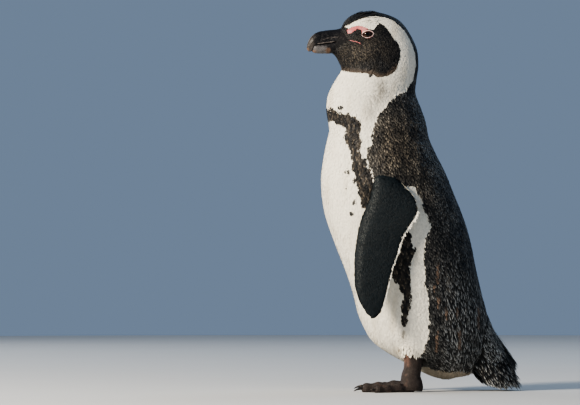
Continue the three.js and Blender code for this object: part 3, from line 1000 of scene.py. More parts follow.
@dataclass(frozen=True)
class PlumageFinish:
    """Feathers in the stored tones: dark or pale by the stored mark, tipped with a paler tone that is partly painted
    highlight, with fine slanting barbs.
    """

    name: str
    barbs: float = 120.0
    relief: float = 0.35

    def make(self) -> Material:
        """Builds the material."""
        s = Shader(self.name)
        uv = s.node("ShaderNodeUVMap", {"uv_map": "vane"})
        axes = s.node("ShaderNodeSeparateXYZ", {}, {0: uv}).socket.node
        across, along = Val(s, axes.outputs[0]), Val(s, axes.outputs[1])
        side = abs(across - 0.5)
        grain = s.noise(s.place(), 1000.0, 2.0)
        patches = s.noise(s.place(), 60.0, 2.0)
        barbs = ((along * self.barbs - side * (self.barbs * 0.6)).sine() * 0.5 + 0.5) * side.rise(0.02, 0.12)
        shaft = 1.0 - side.rise(0.0, 0.05)
        tipped = (along + (grain - 0.5) * 0.3).rise(0.56, 0.96) * (1.0 - side.rise(0.05, 0.34) * 0.9)
        dark = s.mix(tipped, s.attribute("plume", "Color"), s.attribute("plume_tip", "Color"))
        dark = s.shaded(dark, 0.78 + 0.22 * barbs + (patches - 0.5) * 0.3)
        pale = s.shaded(s.attribute("plume_pale", "Color"), 0.95 + 0.05 * barbs)
        black = (s.attribute("mark", "Fac") + (grain - 0.5) * 2.6).rise(-0.22, 0.22)
        dull = s.attribute("plume", "Alpha")
        return s.done(
            Base_Color=s.mix(black, pale, dark),
            Roughness=0.85 - black * (0.85 - dull) + (grain - 0.5) * 0.2,
            Normal=s.bump(barbs + shaft * 0.8, self.relief, 0.00012),
            Specular_IOR_Level=0.18,
        )


@dataclass(frozen=True)
class SkinFinish:
    """Skin: quiet under the plumage, pink and granular where bare, black and scaly on legs and feet."""

    name: str = "skin"
    pink: Colour = (0.43, 0.125, 0.125)
    pale: Colour = (0.52, 0.215, 0.205)
    black: Colour = (0.026, 0.021, 0.019)
    flesh: Colour = (0.20, 0.112, 0.086)
    horn: Colour = (0.005, 0.005, 0.006)
    worn_horn_and_highlight: Colour = (0.045, 0.040, 0.037)

    def make(self) -> Material:
        """Builds the material."""
        s = Shader(self.name)
        tone = s.attribute("tone", "Color")
        bare = s.attribute("bare_mm", "Fac").rise(-0.25, 0.35)
        scaly = s.attribute("scaly", "Fac")
        rosy = s.attribute("rosy", "Fac")
        where = s.place()
        blotch = s.noise(where, 90.0, 4.0)
        fine = s.noise(where, 1500.0, 3.0)
        grains = s.cells(where, 1150.0, "F1")
        pink = s.mix(blotch.rise(0.42, 0.66), self.pink, self.pale)
        scutes = s.cells(s.stretched((1.0, 0.8, 1.15)), 640.0, "DISTANCE_TO_EDGE").rise(0.0, 0.2)
        blush = (rosy * 0.8 + 0.1 + (blotch - 0.5) * 1.7).rise(0.2, 0.85)
        foot = s.mix(blush, self.black, self.flesh)
        foot = s.mix((1.0 - scutes) * 0.3, foot, (0.085, 0.066, 0.057))
        foot = s.mix((s.noise(where, 260.0, 3.0) - 0.42).rise(0.0, 0.3) * 0.4, foot, (0.06, 0.05, 0.047))
        colour = s.mix(scaly, s.mix(bare, tone, pink), foot)
        horn = (s.attribute("horny_mm", "Fac") + (fine - 0.5) * 0.8).rise(-0.1, 0.3)
        # Pale streaks on the horny plate: partly worn scratches, partly painted highlights on the glossy horn.
        streaks = s.noise(s.stretched((1.0, 0.15, 1.0)), 650.0, 4.0).rise(0.54, 0.68)
        colour = s.mix(horn, colour, s.mix(streaks * 0.6, self.horn, self.worn_horn_and_highlight))
        height = bare * (1.0 - grains) * 0.5 + scaly * scutes * 0.7 + fine * 0.15 + horn * s.noise(where, 420.0, 3.0)
        rough = 0.62 - 0.12 * bare + (fine - 0.5) * 0.2 - scaly * scutes * 0.1 + horn * 0.12
        return s.done(
            Base_Color=colour, Roughness=rough, Normal=s.bump(height, 0.6, 0.0005), Specular_IOR_Level=0.12
        )


@dataclass(frozen=True)
class LidFinish:
    """The ring of bare skin round the eye: pinkish white, in fine beads."""

    def make(self) -> Material:
        """Builds the material."""
        s = Shader("eye_ring")
        where = s.place()
        beads = 1.0 - s.cells(where, 1250.0, "F1")
        blotch = s.noise(where, 260.0, 3.0)
        inner = s.attribute("inner", "Fac")
        colour = s.mix(blotch.rise(0.35, 0.65), (0.68, 0.40, 0.36), (0.74, 0.56, 0.52))
        colour = s.mix(inner.rise(0.35, 0.95), colour, (0.035, 0.018, 0.016))
        return s.done(Base_Color=colour, Roughness=0.5, Normal=s.bump(beads, 0.5, 0.0004))


@dataclass(frozen=True)
class HornFinish:
    """Horn of bill and claws: the stored tone, fine lengthwise streaks, pale scratches that are partly painted
    highlights, and a soft gloss.
    """

    name: str
    slot: str
    gloss: float = 0.40

    def make(self) -> Material:
        """Builds the material."""
        s = Shader(self.name)
        streaks = s.noise(s.stretched((1.0, 0.12, 1.0)), 900.0, 4.0)
        flakes = s.noise(s.place(), 420.0, 4.0)
        scratch_and_highlight = s.noise(s.stretched((1.0, 0.16, 0.7)), 1300.0, 4.0).rise(0.55, 0.75)
        colour = s.shaded(s.attribute("tone", "Color"), 0.7 + 0.6 * streaks)
        # Pale scratches: partly wear, partly painted highlights along the horn's ridges.
        colour = s.mix(scratch_and_highlight * 0.14, colour, (0.16, 0.15, 0.145))
        rough = self.gloss + (flakes - 0.5) * 0.35 + scratch_and_highlight * 0.15
        height = streaks * 0.6 + flakes * 0.8 - scratch_and_highlight * 0.4
        return s.done(
            Base_Color=colour, Roughness=rough, Normal=s.bump(height, 0.5, 0.0005), Specular_IOR_Level=0.16
        )


@dataclass(frozen=True)
class EyeFinish:
    """A wet dark-brown eye: black pupil, streaked iris, dark rim."""

    def make(self) -> Material:
        """Builds the material; the stored `off_axis` is the distance from the eye's axis in millimetres."""
        s = Shader("eye")
        off = s.attribute("off_axis", "Fac")
        streaks = s.noise(s.place(), 1300.0, 3.0)
        iris = s.mix(streaks.rise(0.35, 0.7), (0.010, 0.004, 0.0025), (0.032, 0.012, 0.006))
        colour = s.mix((off + (streaks - 0.5) * 0.3).rise(2.6, 3.0), (0.001, 0.001, 0.001), iris)
        colour = s.mix(off.rise(5.2, 6.6), colour, (0.006, 0.004, 0.004))
        return s.done(Base_Color=colour, Roughness=0.12, Specular_IOR_Level=0.4, IOR=1.38)


@dataclass(frozen=True)
class FloorFinish:
    """A plain pale studio floor."""

    def make(self) -> Material:
        """Builds the material."""
        s = Shader("floor")
        soft = s.noise(s.place(), 3.0, 2.0)
        colour = s.mix(soft, (0.50, 0.50, 0.49), (0.53, 0.53, 0.52))
        return s.done(Base_Color=colour, Roughness=0.75)


# ---- plumage
class Tone:
    """Feather and horn colours, linear light."""

    BLACK = np.array([0.0072, 0.0077, 0.0088])
    SOOT = np.array([0.0190, 0.0165, 0.0140])
    # SILVER, FROST and TAN tip the black feathers. They are partly the feathers' own pale tips and partly painted
    # highlight, glints of light on the tips.
    SILVER = np.array([0.33, 0.34, 0.33])
    FROST = np.array([0.50, 0.50, 0.48])
    TAN = np.array([0.29, 0.24, 0.175])
    BROWN = np.array([0.085, 0.062, 0.044])
    RUFOUS = np.array([0.25, 0.168, 0.12])
    WHITE = np.array([0.74, 0.70, 0.60])
    CREAM = np.array([0.54, 0.485, 0.385])
    # Flipper black with a blue tint that is a painted reflection of the sky.
    SKY_TINTED_SLATE = np.array([0.0040, 0.0079, 0.0106])
    HORN = np.array([0.0060, 0.0060, 0.0072])


@dataclass
class Feathers:
    """Many feathers, one to a row of each array.

    base, middle and under lie on the skin: at the root, half way along and below the tip. ground and tip
    are the dark pattern's tones at root and tip, pale is the light pattern's. mark is the depth inside
    the dark pattern in millimetres. ridge is the shaft's height and cup the roundness, both as shares.
    """

    base: Array
    middle: Array
    under: Array
    up: Array
    up_tip: Array
    width: Array
    lift: Array
    bake: Array
    ground: Array | None = None
    tip: Array | None = None
    pale: Array | None = None
    mark: Array | None = None
    dull: Array | None = None
    ridge: Array | None = None
    cup: Array | None = None

    @classmethod
    def straight(cls, base: Array, end: Array, up: Array, width: Array, lift: Array, bake: Array) -> Feathers:
        """Unbent feathers from base to end."""
        return cls(base, (base + end) / 2, end, up, up, width, lift, bake)

    def __len__(self) -> int:
        """How many feathers there are."""
        return len(self.base)

    def kept(self, which: Array) -> Feathers:
        """Only the chosen feathers."""
        return Feathers(**{k: v if v is None else v[which] for k, v in vars(self).items()})

    def paint(self, **values: Array | float) -> Feathers:
        """Gives each feather its tones, mark, dullness, ridge and cup."""
        for key, value in values.items():
            shape = (len(self), 3) if key in ("ground", "tip", "pale") else (len(self),)
            setattr(self, key, np.broadcast_to(np.asarray(value, float), shape).copy())
        return self

    def spine(self, s: Array | float) -> Array:
        """Points at share s of the length: a parabola through base, middle and under."""
        s = np.asarray(s, float)
        s = s[:, None] if s.ndim else s
        return (1 - s) * (1 - 2 * s) * self.base + 4 * s * (1 - s) * self.middle + s * (2 * s - 1) * self.under

    def stretched(self, factor: Array) -> Feathers:
        """The feathers drawn out along their own curve."""
        self.middle, self.under = self.spine(factor / 2), self.spine(factor)
        return self

    def grounded(self, low: float = 1.0 * MM) -> Feathers:
        """Feathers that would pass under the floor are laid on it."""
        for points in (self.base, self.middle, self.under):
            points[:, 2] = np.maximum(points[:, 2], low)
        return self

    @staticmethod
    def joined(groups: Sequence[Feathers]) -> Feathers:
        """Several groups as one."""
        keys = vars(groups[0]).keys()
        return Feathers(**{k: np.concatenate([getattr(g, k) for g in groups]) for k in keys})


@dataclass(frozen=True)
class Vane:
    """The shape of one feather: rows of left edge, raised shaft and right edge, and a pointed tip.

    Each row gives its share of the length and of the width. The underside is flat from edge to edge, so
    a feather is a closed sliver. Stored normals lean outwards at the edges, so it shades as a soft curve.
    """

    shares: tuple[float, ...] = (0.0, 0.42, 0.8)
    widths: tuple[float, ...] = (0.6, 1.0, 0.68)
    sink: float = 0.35 * MM
    curl: float = 2.2
    patch: float = 0.003

    def shape(self, f: Feathers) -> tuple[Array, Array]:
        """Points and normals of all feathers, (N, rows * 3 + 1, 3) each.

        A row's height over the skin is (lift + sink) (1 - (1 - share)^curl) - sink.

        Args:
            f: the feathers, painted.

        Returns:
            The points and the normals.
        """
        rng = np.random.default_rng(len(f))
        side = unit(np.cross(f.under - f.base, f.up))
        along = unit(f.under - f.middle)
        lean, half = f.cup[:, None], (f.width / 2)[:, None]
        sway = rng.normal(0, 0.2, (len(f), 3)) * lean
        rows, normals = [], []
        for share, width in zip(self.shares, self.widths):
            up = unit(blend(f.up, f.up_tip, share))
            height = (f.lift + self.sink) * (1 - (1 - share) ** self.curl) - self.sink
            middle = f.spine(share) + up * height[:, None]
            shaft = middle + up * (f.ridge * f.width * width)[:, None]
            rows += [middle - side * half * width, shaft, middle + side * half * width]
            normals += [unit(up + sway - side * lean), unit(up + sway), unit(up + sway + side * lean)]
        rows.append(f.spine(1.0) + f.up_tip * f.lift[:, None])
        normals.append(unit(f.up_tip + sway + along * lean))
        return np.stack(rows, 1), np.stack(normals, 1)

    def faces(self) -> tuple[Array, Array, Array, Array]:
        """Four- and three-sided faces of one feather, facing outwards, and which of each face down."""
        n = len(self.shares)
        k = np.arange(n - 1) * 3
        left = np.stack([k, k + 1, k + 4, k + 3], -1)
        right = np.stack([k + 1, k + 2, k + 5, k + 4], -1)
        under = np.stack([k + 2, k, k + 3, k + 5], -1)
        tip, e = 3 * n, 3 * (n - 1)
        tris = np.array([[e, e + 1, tip], [e + 1, e + 2, tip], [e + 2, e, tip], [0, 2, 1]])
        down = np.repeat([1.0, 1.0, -1.0], n - 1)
        return np.concatenate([left, right, under]), tris, down, np.array([1.0, 1.0, -1.0, -1.0])

    def cloth(self, name: str, f: Feathers, marks: Callable[[Array], Array] | None = None) -> Object:
        """All feathers in one mesh with their colours, normals, vane map and bake map.

        Args:
            name: the object's name.
            f: the feathers, painted.
            marks: depth in the dark pattern at points, added to each feather's own.

        Returns:
            The object.
        """
        points, normals = self.shape(f)
        n, per = points.shape[:2]
        flat = points.reshape(-1, 3)
        quads, tris, quad_down, tri_down = self.faces()
        start = (np.arange(n) * per)[:, None, None]
        all_quads, all_tris = (quads + start).reshape(-1, 4), (tris + start).reshape(-1, 3)
        obj = place_mesh(name, flat, [all_quads, all_tris])
        mesh = obj.data
        store(mesh, "plume", np.repeat(f.ground, per, axis=0), np.repeat(f.dull, per)[:, None])
        for key, tone in (("plume_tip", f.tip), ("plume_pale", f.pale)):
            store(mesh, key, np.repeat(tone, per, axis=0))
        mark = np.repeat(f.mark, per)
        store(mesh, "mark", (mark if marks is None else mark + marks(flat)).clip(FAR_OUT, -FAR_OUT))
        order = np.concatenate([all_quads.ravel(), all_tris.ravel()])
        turned = np.concatenate([np.repeat(np.tile(quad_down, n), 4), np.repeat(np.tile(tri_down, n), 3)])
        corner = normals.reshape(-1, 3)[order] * turned[:, None]
        self.crease(mesh, per)
        lean = mesh.attributes.new("custom_normal", "FLOAT_VECTOR", "CORNER")
        lean.data.foreach_set("vector", corner.astype(np.float32).ravel())
        share = np.repeat(np.array([*self.shares, 1.0]), [3] * len(self.shares) + [1])
        across = np.array([0.0, 0.5, 1.0] * len(self.shares) + [0.5])
        local = np.stack([across, share], -1)
        vane = np.broadcast_to(local, (n, per, 2)).reshape(-1, 2)
        unwrap(mesh, vane=vane, OFBake=(f.bake[:, None] + (local - 0.5) * self.patch).reshape(-1, 2))
        return obj

    def crease(self, mesh: Mesh, per: int) -> None:
        """Marks the outline of every feather sharp: its sides, its base and the edges of its tip.

        Args:
            mesh: the feathers' mesh.
            per: points to a feather.
        """
        n = len(self.shares)
        sharp = np.zeros((per, per), bool)
        k = np.arange(n - 1) * 3
        for a, b in ((k, k + 3), (k + 2, k + 5), (0, 1), (1, 2), (0, 2), (3 * n - 3, 3 * n), (3 * n - 1, 3 * n)):
            sharp[a, b] = sharp[b, a] = True
        ends = np.empty(len(mesh.edges) * 2, np.int32)
        mesh.edges.foreach_get("vertices", ends)
        ends = ends.reshape(-1, 2) % per
        mesh.attributes.new("sharp_edge", "BOOLEAN", "EDGE").data.foreach_set("value", sharp[ends[:, 0], ends[:, 1]])


@dataclass(frozen=True)
class Sheet:
    """A place on the bake unwrap: lower corner and size of the region that a form's (angle, t) fills."""

    u: float
    v: float
    width: float
    height: float

    def at(self, around: Array, along: Array) -> Array:
        """Unwrap coordinates for shares from 0 to 1 around and along the form."""
        return np.stack([self.u + self.width * around, self.v + self.height * along], -1)


@dataclass
class Tract:
    """A stretch of a form that is covered with rows of feathers lying towards falling t.

    Args:
        form: the surface.
        span: first and last t, in millimetres.
        sheet: the form's region of the bake unwrap.
        pitch: distance between rows in metres at t.
        depth: skin inset in metres at t.
        long: feather length in pitches.
        broad: feather width in pitches.
        seed: picks the scatter.
    """

    form: Form
    span: tuple[float, float]
    sheet: Sheet
    pitch: Callable[[Array], Array]
    depth: Callable[[Array], Array]
    long: float = 3.8
    broad: float = 2.0
    seed: int = 1

    def rows(self) -> Array:
        """Places of the rows, a pitch apart along the longest side of the form."""
        t = np.linspace(*self.span, 900)
        angle = np.linspace(0, TAU, 16, endpoint=False)
        grid = self.form.at(t[:, None], angle[None])
        stride = np.linalg.norm(np.diff(grid, axis=0), axis=-1).max(1)
        count = np.concatenate([[0.0], np.cumsum(stride / self.pitch(t[1:]))])
        return np.interp(np.arange(0.5, count[-1]), count, t)

    def seeds(self) -> tuple[Array, Array]:
        """Roots as (t, angle): evenly spaced round each row, every other row shifted by half a place.

        Where the rows crowd together, as under the throat, roots are left out at random.
        """
        rng = np.random.default_rng(self.seed)
        rows = self.rows()
        gaps = np.gradient(rows)
        fine = np.linspace(0, TAU, 361)
        out_t, out_a, out_gap = [], [], []
        for i, (t, gap) in enumerate(zip(rows, gaps)):
            ring = self.form.at(np.full_like(fine, t), fine)
            arc = np.concatenate([[0.0], np.cumsum(np.linalg.norm(np.diff(ring, axis=0), axis=-1))])
            pitch = float(self.pitch(np.array(t))) * 0.92
            count = max(6, int(arc[-1] / pitch))
            places = (np.arange(count) + 0.5 * (i % 2) + rng.uniform(-0.24, 0.24, count)) / count % 1.0
            out_a.append(np.interp(places * arc[-1], arc, fine))
            out_t.append(t + rng.uniform(-0.34, 0.34, count) * gap)
            out_gap.append(np.full(count, gap))
        t, a, gap = map(np.concatenate, (out_t, out_a, out_gap))
        t = np.clip(t, *self.span)
        local = np.linalg.norm(self.form.at(t + gap / 2, a) - self.form.at(t - gap / 2, a), axis=-1)
        keep = rng.uniform(size=len(t)) < 1.2 * local / self.pitch(t)
        return t[keep], a[keep]

    def feathers(self) -> Feathers:
        """Lays the tract's feathers, unpainted.

        The lie is the direction of falling t; middle and under follow the form, so feathers bend with
        it. Past the end of the form they run on straight for two fifths of what is left.
        """
        rng = np.random.default_rng(self.seed + 77)
        t, a = self.seeds()
        n = len(t)
        inset, pitch = self.depth(t), self.pitch(t)
        base = self.form.at(t, a, inset)
        low = self.form.at(t - 0.4, a, inset)
        speed = np.maximum(np.linalg.norm(base - low, axis=-1) / 0.4, 1e-6)
        lie = unit(low - base)
        length = pitch * self.long * rng.normal(1, 0.1, n).clip(0.75, 1.3)
        round_ = unit(self.form.at(t, a + 0.004, inset) - self.form.at(t, a - 0.004, inset))
        up = unit(np.cross(round_, lie))
        up *= np.sign(np.einsum("ij,ij->i", up, base - self.form.at(t, a, inset + 1 * MM)))[:, None]
        yaw = (rng.normal(0, 0.10, n) + 0.10 * ripple(base, 19, self.seed + 5))[:, None]
        swerve = np.cross(up, lie) * yaw * length[:, None]

        def behind(share: float) -> Array:
            """Skin points a share of the length behind the roots."""
            t_back = t - share * length / speed
            over = np.maximum(-t_back, 0.0) * speed * 0.4
            return self.form.at(np.maximum(t_back, 0.0), a, inset) + lie * over[:, None] + swerve * share

        middle, under = behind(0.5), behind(1.0)
        across = unit(np.cross(up, under - base))
        up_tip = unit(np.cross(unit(under - middle), across))
        up_tip *= np.sign(np.einsum("ij,ij->i", up_tip, up))[:, None]
        lift = inset * rng.normal(0.97, 0.05, n).clip(0.8, 1.12)
        share_t = (t - self.span[0]) / (self.span[1] - self.span[0])
        width = pitch * self.broad * rng.normal(1, 0.1, n).clip(0.75, 1.3)
        return Feathers(base, middle, under, up, up_tip, width, lift, self.sheet.at(a / TAU, share_t))


@dataclass(frozen=True)
class Patch:
    """A soft-edged patch of the side elevation: its place, width and height in millimetres and strength."""

    u: float
    v: float
    wide: float
    high: float
    strength: float = 1.0

    def at(self, u: Array, v: Array) -> Array:
        """The strength at the patch's middle, falling off as a bell, as a column."""
        bell = np.exp(-(((u - self.u) / self.wide) ** 2) - ((v - self.v) / self.high) ** 2)
        return (self.strength * bell)[:, None]


@dataclass
class BodyPlumage:
    """Feathers of trunk, neck and head, in the black and white pattern."""

    body: BodyForm
    markings: Markings
    hidden: Sequence[Inside]
    sheet: Sheet = Sheet(0.02, 0.02, 0.56, 0.96)
    # Shoulders and cheeks: browner black feathers with more tan tips, partly their own colour and partly painted sunlit
    # glints.
    shoulder: tuple[Patch, ...] = (Patch(-22, 350, 48, 62), Patch(12, 255, 28, 60, 0.6))
    cheek: tuple[Patch, ...] = (Patch(-88, 478, 24, 13), Patch(-64, 492, 26, 14, 0.8))
    # Grey smudges on the white of neck, collar and throat. The patch at the foot of the band is painted shade in the
    # fold between belly and thigh feathers.
    smudges_and_fold_shade: tuple[Patch, ...] = (  # neck, collar, throat, foot of the band
        Patch(-46, 429, 9, 17), Patch(-62, 398, 9, 13, 0.5), Patch(-60, 416, 10, 10, 0.45), Patch(-15, 79, 3.2, 6.5),
    )  # fmt: skip
    smudge_and_fold_shade: Colour = (0.18, 0.165, 0.14)
    # Painted shade: the white vent feathers under the body darkened to a brownish cream.
    vent_shade: Colour = (0.29, 0.245, 0.185)
    crown: tuple[float, float, float] = (520.0, -50.0, 0.35)  # height, middle and slope of its lower edge
    hindneck: float = 452.0  # the height above which the back of the neck has no pale tips
    hem: tuple[float, float] = (472.0, 458.0)  # heights between which the mask's edge turns brown
    vent: tuple[float, float, float, float] = (2.0, 20.0, 56.0, 40.0)  # it fades in backwards and down
    tuft_above: float = 0.86  # the share of crown feathers that lie flat

    def lay(self) -> Feathers:
        """Lays and paints the feathers, leaving bare skin, bill, eyes, legs and tail root free."""
        end = float(self.body.loft.knots[-1])
        tract = Tract(self.body, (1.0, end - 0.6), self.sheet, self.body.pitch, self.body.coat_depth, 4.4, 1.95, 11)
        f = tract.feathers()
        rear = self.rear(f.under)
        f = f.stretched(1 + 0.7 * rear)
        f.width *= 1 - 0.48 * rear
        tuft = step(-92, -80, f.base[:, 1] / MM) * step(-52, -62, f.base[:, 1] / MM) * step(0.524, 0.53, f.base[:, 2])
        f = f.stretched(1 + 0.35 * tuft)
        f.lift *= 1 + 0.3 * rear
        raised = np.random.default_rng(2).uniform(0, 1, len(f))
        f.lift += tuft * (raised > self.tuft_above) * (1.0 + 12.0 * (raised - self.tuft_above)) * MM
        return self.painted(f.kept(self.clear(f))).grounded(1.5 * MM)

    @staticmethod
    def rear(points: Array) -> Array:
        """1 on the rump, where feathers are long and narrow, 0 elsewhere."""
        return step(0.012, 0.05, points[:, 1]) * step(0.205, 0.12, points[:, 2])

    def clear(self, f: Feathers) -> Array:
        """Picks the feathers that are neither rooted in another part nor over bare skin, horn or an eye.

        Args:
            f: the feathers.

        Returns:
            (N,) True for those that stay.
        """
        keep = np.ones(len(f), bool)
        near = f.base[:, 2] < 0.33
        for part in self.hidden:
            which = np.flatnonzero(near & keep)
            keep[which[part.depth(f.base[which]) > 0.8 * MM]] = False
        head = np.flatnonzero(keep & (f.base[:, 2] > HEAD_FLOOR))
        gone = self.markings.horny(f.base[head]) > 0.9 + np.random.default_rng(4).normal(0, 0.9, len(head))
        for points, room, ring in ((f.base[head], 0.7, 0.8), (f.middle[head], 0.3, 0.92), (f.under[head], 0.5, 0.95)):
            gone |= self.markings.bare(points) > room
            gone |= Eye.ring_share(self.markings.elevation.of(points)) < ring
        keep[head[gone]] = False
        return keep

    def painted(self, f: Feathers) -> Feathers:
        """Paints feathers by the place of their tips on the side elevation.

        Among the black feathers some are tipped silver, tan on the shoulders and cheeks, frosty on the
        rump, and rufous along the worn streaks. The silver, tan and frosty tips are partly the feathers' own
        and partly painted highlight, glints of light on the tips. Among the white ones a few are smudged;
        at the foot of the band a dark streak is painted shade in the fold between belly and thigh, and the
        vent is darkened with painted shade.

        Args:
            f: the feathers.

        Returns:
            The same feathers, painted.
        """
        rng = np.random.default_rng(5)
        n = len(f)
        seen = f.spine(0.85) + f.up_tip * f.lift[:, None]
        u, v = self.markings.elevation.of(seen).T
        luck, bright = rng.uniform(size=(n, 1)), rng.normal(1, 0.2, (n, 1)).clip(0.5, 1.7)
        clump = ripple(seen, 15, 8, (1, 1, 0.5))[:, None]
        rear = self.rear(seen)[:, None]
        shoulder, cheek = (sum(p.at(u, v) for p in group).clip(0, 1) for group in (self.shoulder, self.cheek))
        height, middle, slope = self.crown
        crown = step(-2, 2, v - height + slope * np.abs(u - middle)) + (v > self.hindneck) * step(-30, -10, u)
        crown = crown.clip(0, 1)[:, None]
        face = step(-2.0, 0.0, self.markings.face(seen))[:, None]
        cheek = face * cheek
        chest = step(-3.0, -1.0, polygon_depth(np.stack([u, v], -1), self.markings.band))[:, None]
        ground = blend(Tone.BLACK, Tone.SOOT, (step(-0.6, 0.9, clump) * 0.6 + 0.5 * shoulder + 0.5 * cheek).clip(0, 1))
        # glint: each tip's share of its pale tone, partly painted highlight of light on the tip.
        glint = (0.28 + 0.72 * step(0.25, 0.98, luck)) * (0.4 + 0.6 * step(-0.5, 0.6, clump))
        glint = glint * (0.8 + 0.35 * shoulder) * (1 - 0.85 * crown)
        tip = blend(Tone.SILVER, Tone.TAN, (shoulder * 0.8 + 0.25).clip(0, 1))
        tip = blend(tip, Tone.FROST * 1.25, rear * step(0.4, 0.85, luck) * 0.9)
        glint = np.maximum(glint, rear * step(0.2, 0.75, luck) * 0.9)
        mottle = step(-0.5, 0.7, ripple(seen, 7, 12, (1, 1, 0.6)))[:, None]
        ground = blend(ground, blend(Tone.BLACK, Tone.SOOT * 1.7, mottle), chest)
        tip = blend(tip, blend(Tone.BROWN, Tone.TAN * 0.75, mottle * luck), chest)
        glint = blend(glint, step(0.1, 0.9, luck) * (0.15 + 0.85 * mottle), chest)
        tip = blend(tip, Tone.TAN, face)
        glint = blend(glint, step(0.3, 1.0, luck) * (0.05 + 0.5 * cheek), face)
        hem = face * step(7, 1, self.markings.face(seen))[:, None] * step(*self.hem, v)[:, None]
        ground = blend(ground, Tone.BROWN, 0.7 * hem)
        tip = blend(ground, tip, glint) * bright
        worn = step(2.0, 0.8, self.markings.worn(seen) + rng.normal(0, 0.5, n))[:, None] * (seen[:, 1:2] > -0.01)
        tip, ground = blend(tip, Tone.RUFOUS * bright, worn * 0.9), blend(ground, Tone.RUFOUS * 0.35, worn)
        wash = ripple(seen, 24, 9, (1, 1, 0.4))[:, None]
        pale = blend(Tone.WHITE, Tone.CREAM, step(0.2, 1.1, wash) * 0.45) * rng.normal(1, 0.05, (n, 1)).clip(0.8, 1.1)
        chances = (0.65 + 0.35 * step(0.3, 0.7, luck), 1.0, step(0.3, 0.8, luck), 0.5 + luck)
        # Grey smudges on the white; the last patch is painted shade in the fold between belly and thigh.
        smudge_and_fold_shade = sum(p.at(u, v) * chance for p, chance in zip(self.smudges_and_fold_shade, chances))
        pale = blend(pale, np.array(self.smudge_and_fold_shade), smudge_and_fold_shade.clip(0, 0.85))
        # The vent darkened with painted shade, fading in backwards and down.
        vent = (step(*self.vent[:2], u) * step(*self.vent[2:], v))[:, None]
        pale = blend(pale, np.array(self.vent_shade) * rng.normal(1, 0.15, (n, 1)), vent * 0.9)
        ragged = rng.normal(0, 0.8, n) + 1.3 * ripple(seen, 7, 3)
        mark = ragged * (0.3 + 0.7 * step(455, 425, v))
        dull = rng.normal(0.5, 0.05, n)
        dark = step(-1, 1, self.markings.dark(seen) + mark)
        f.lift *= 0.72 + 0.2 * dark
        return f.paint(
            ground=ground * bright, tip=tip, pale=pale, mark=mark, dull=dull, ridge=0.03, cup=0.2 + 0.3 * dark
        )


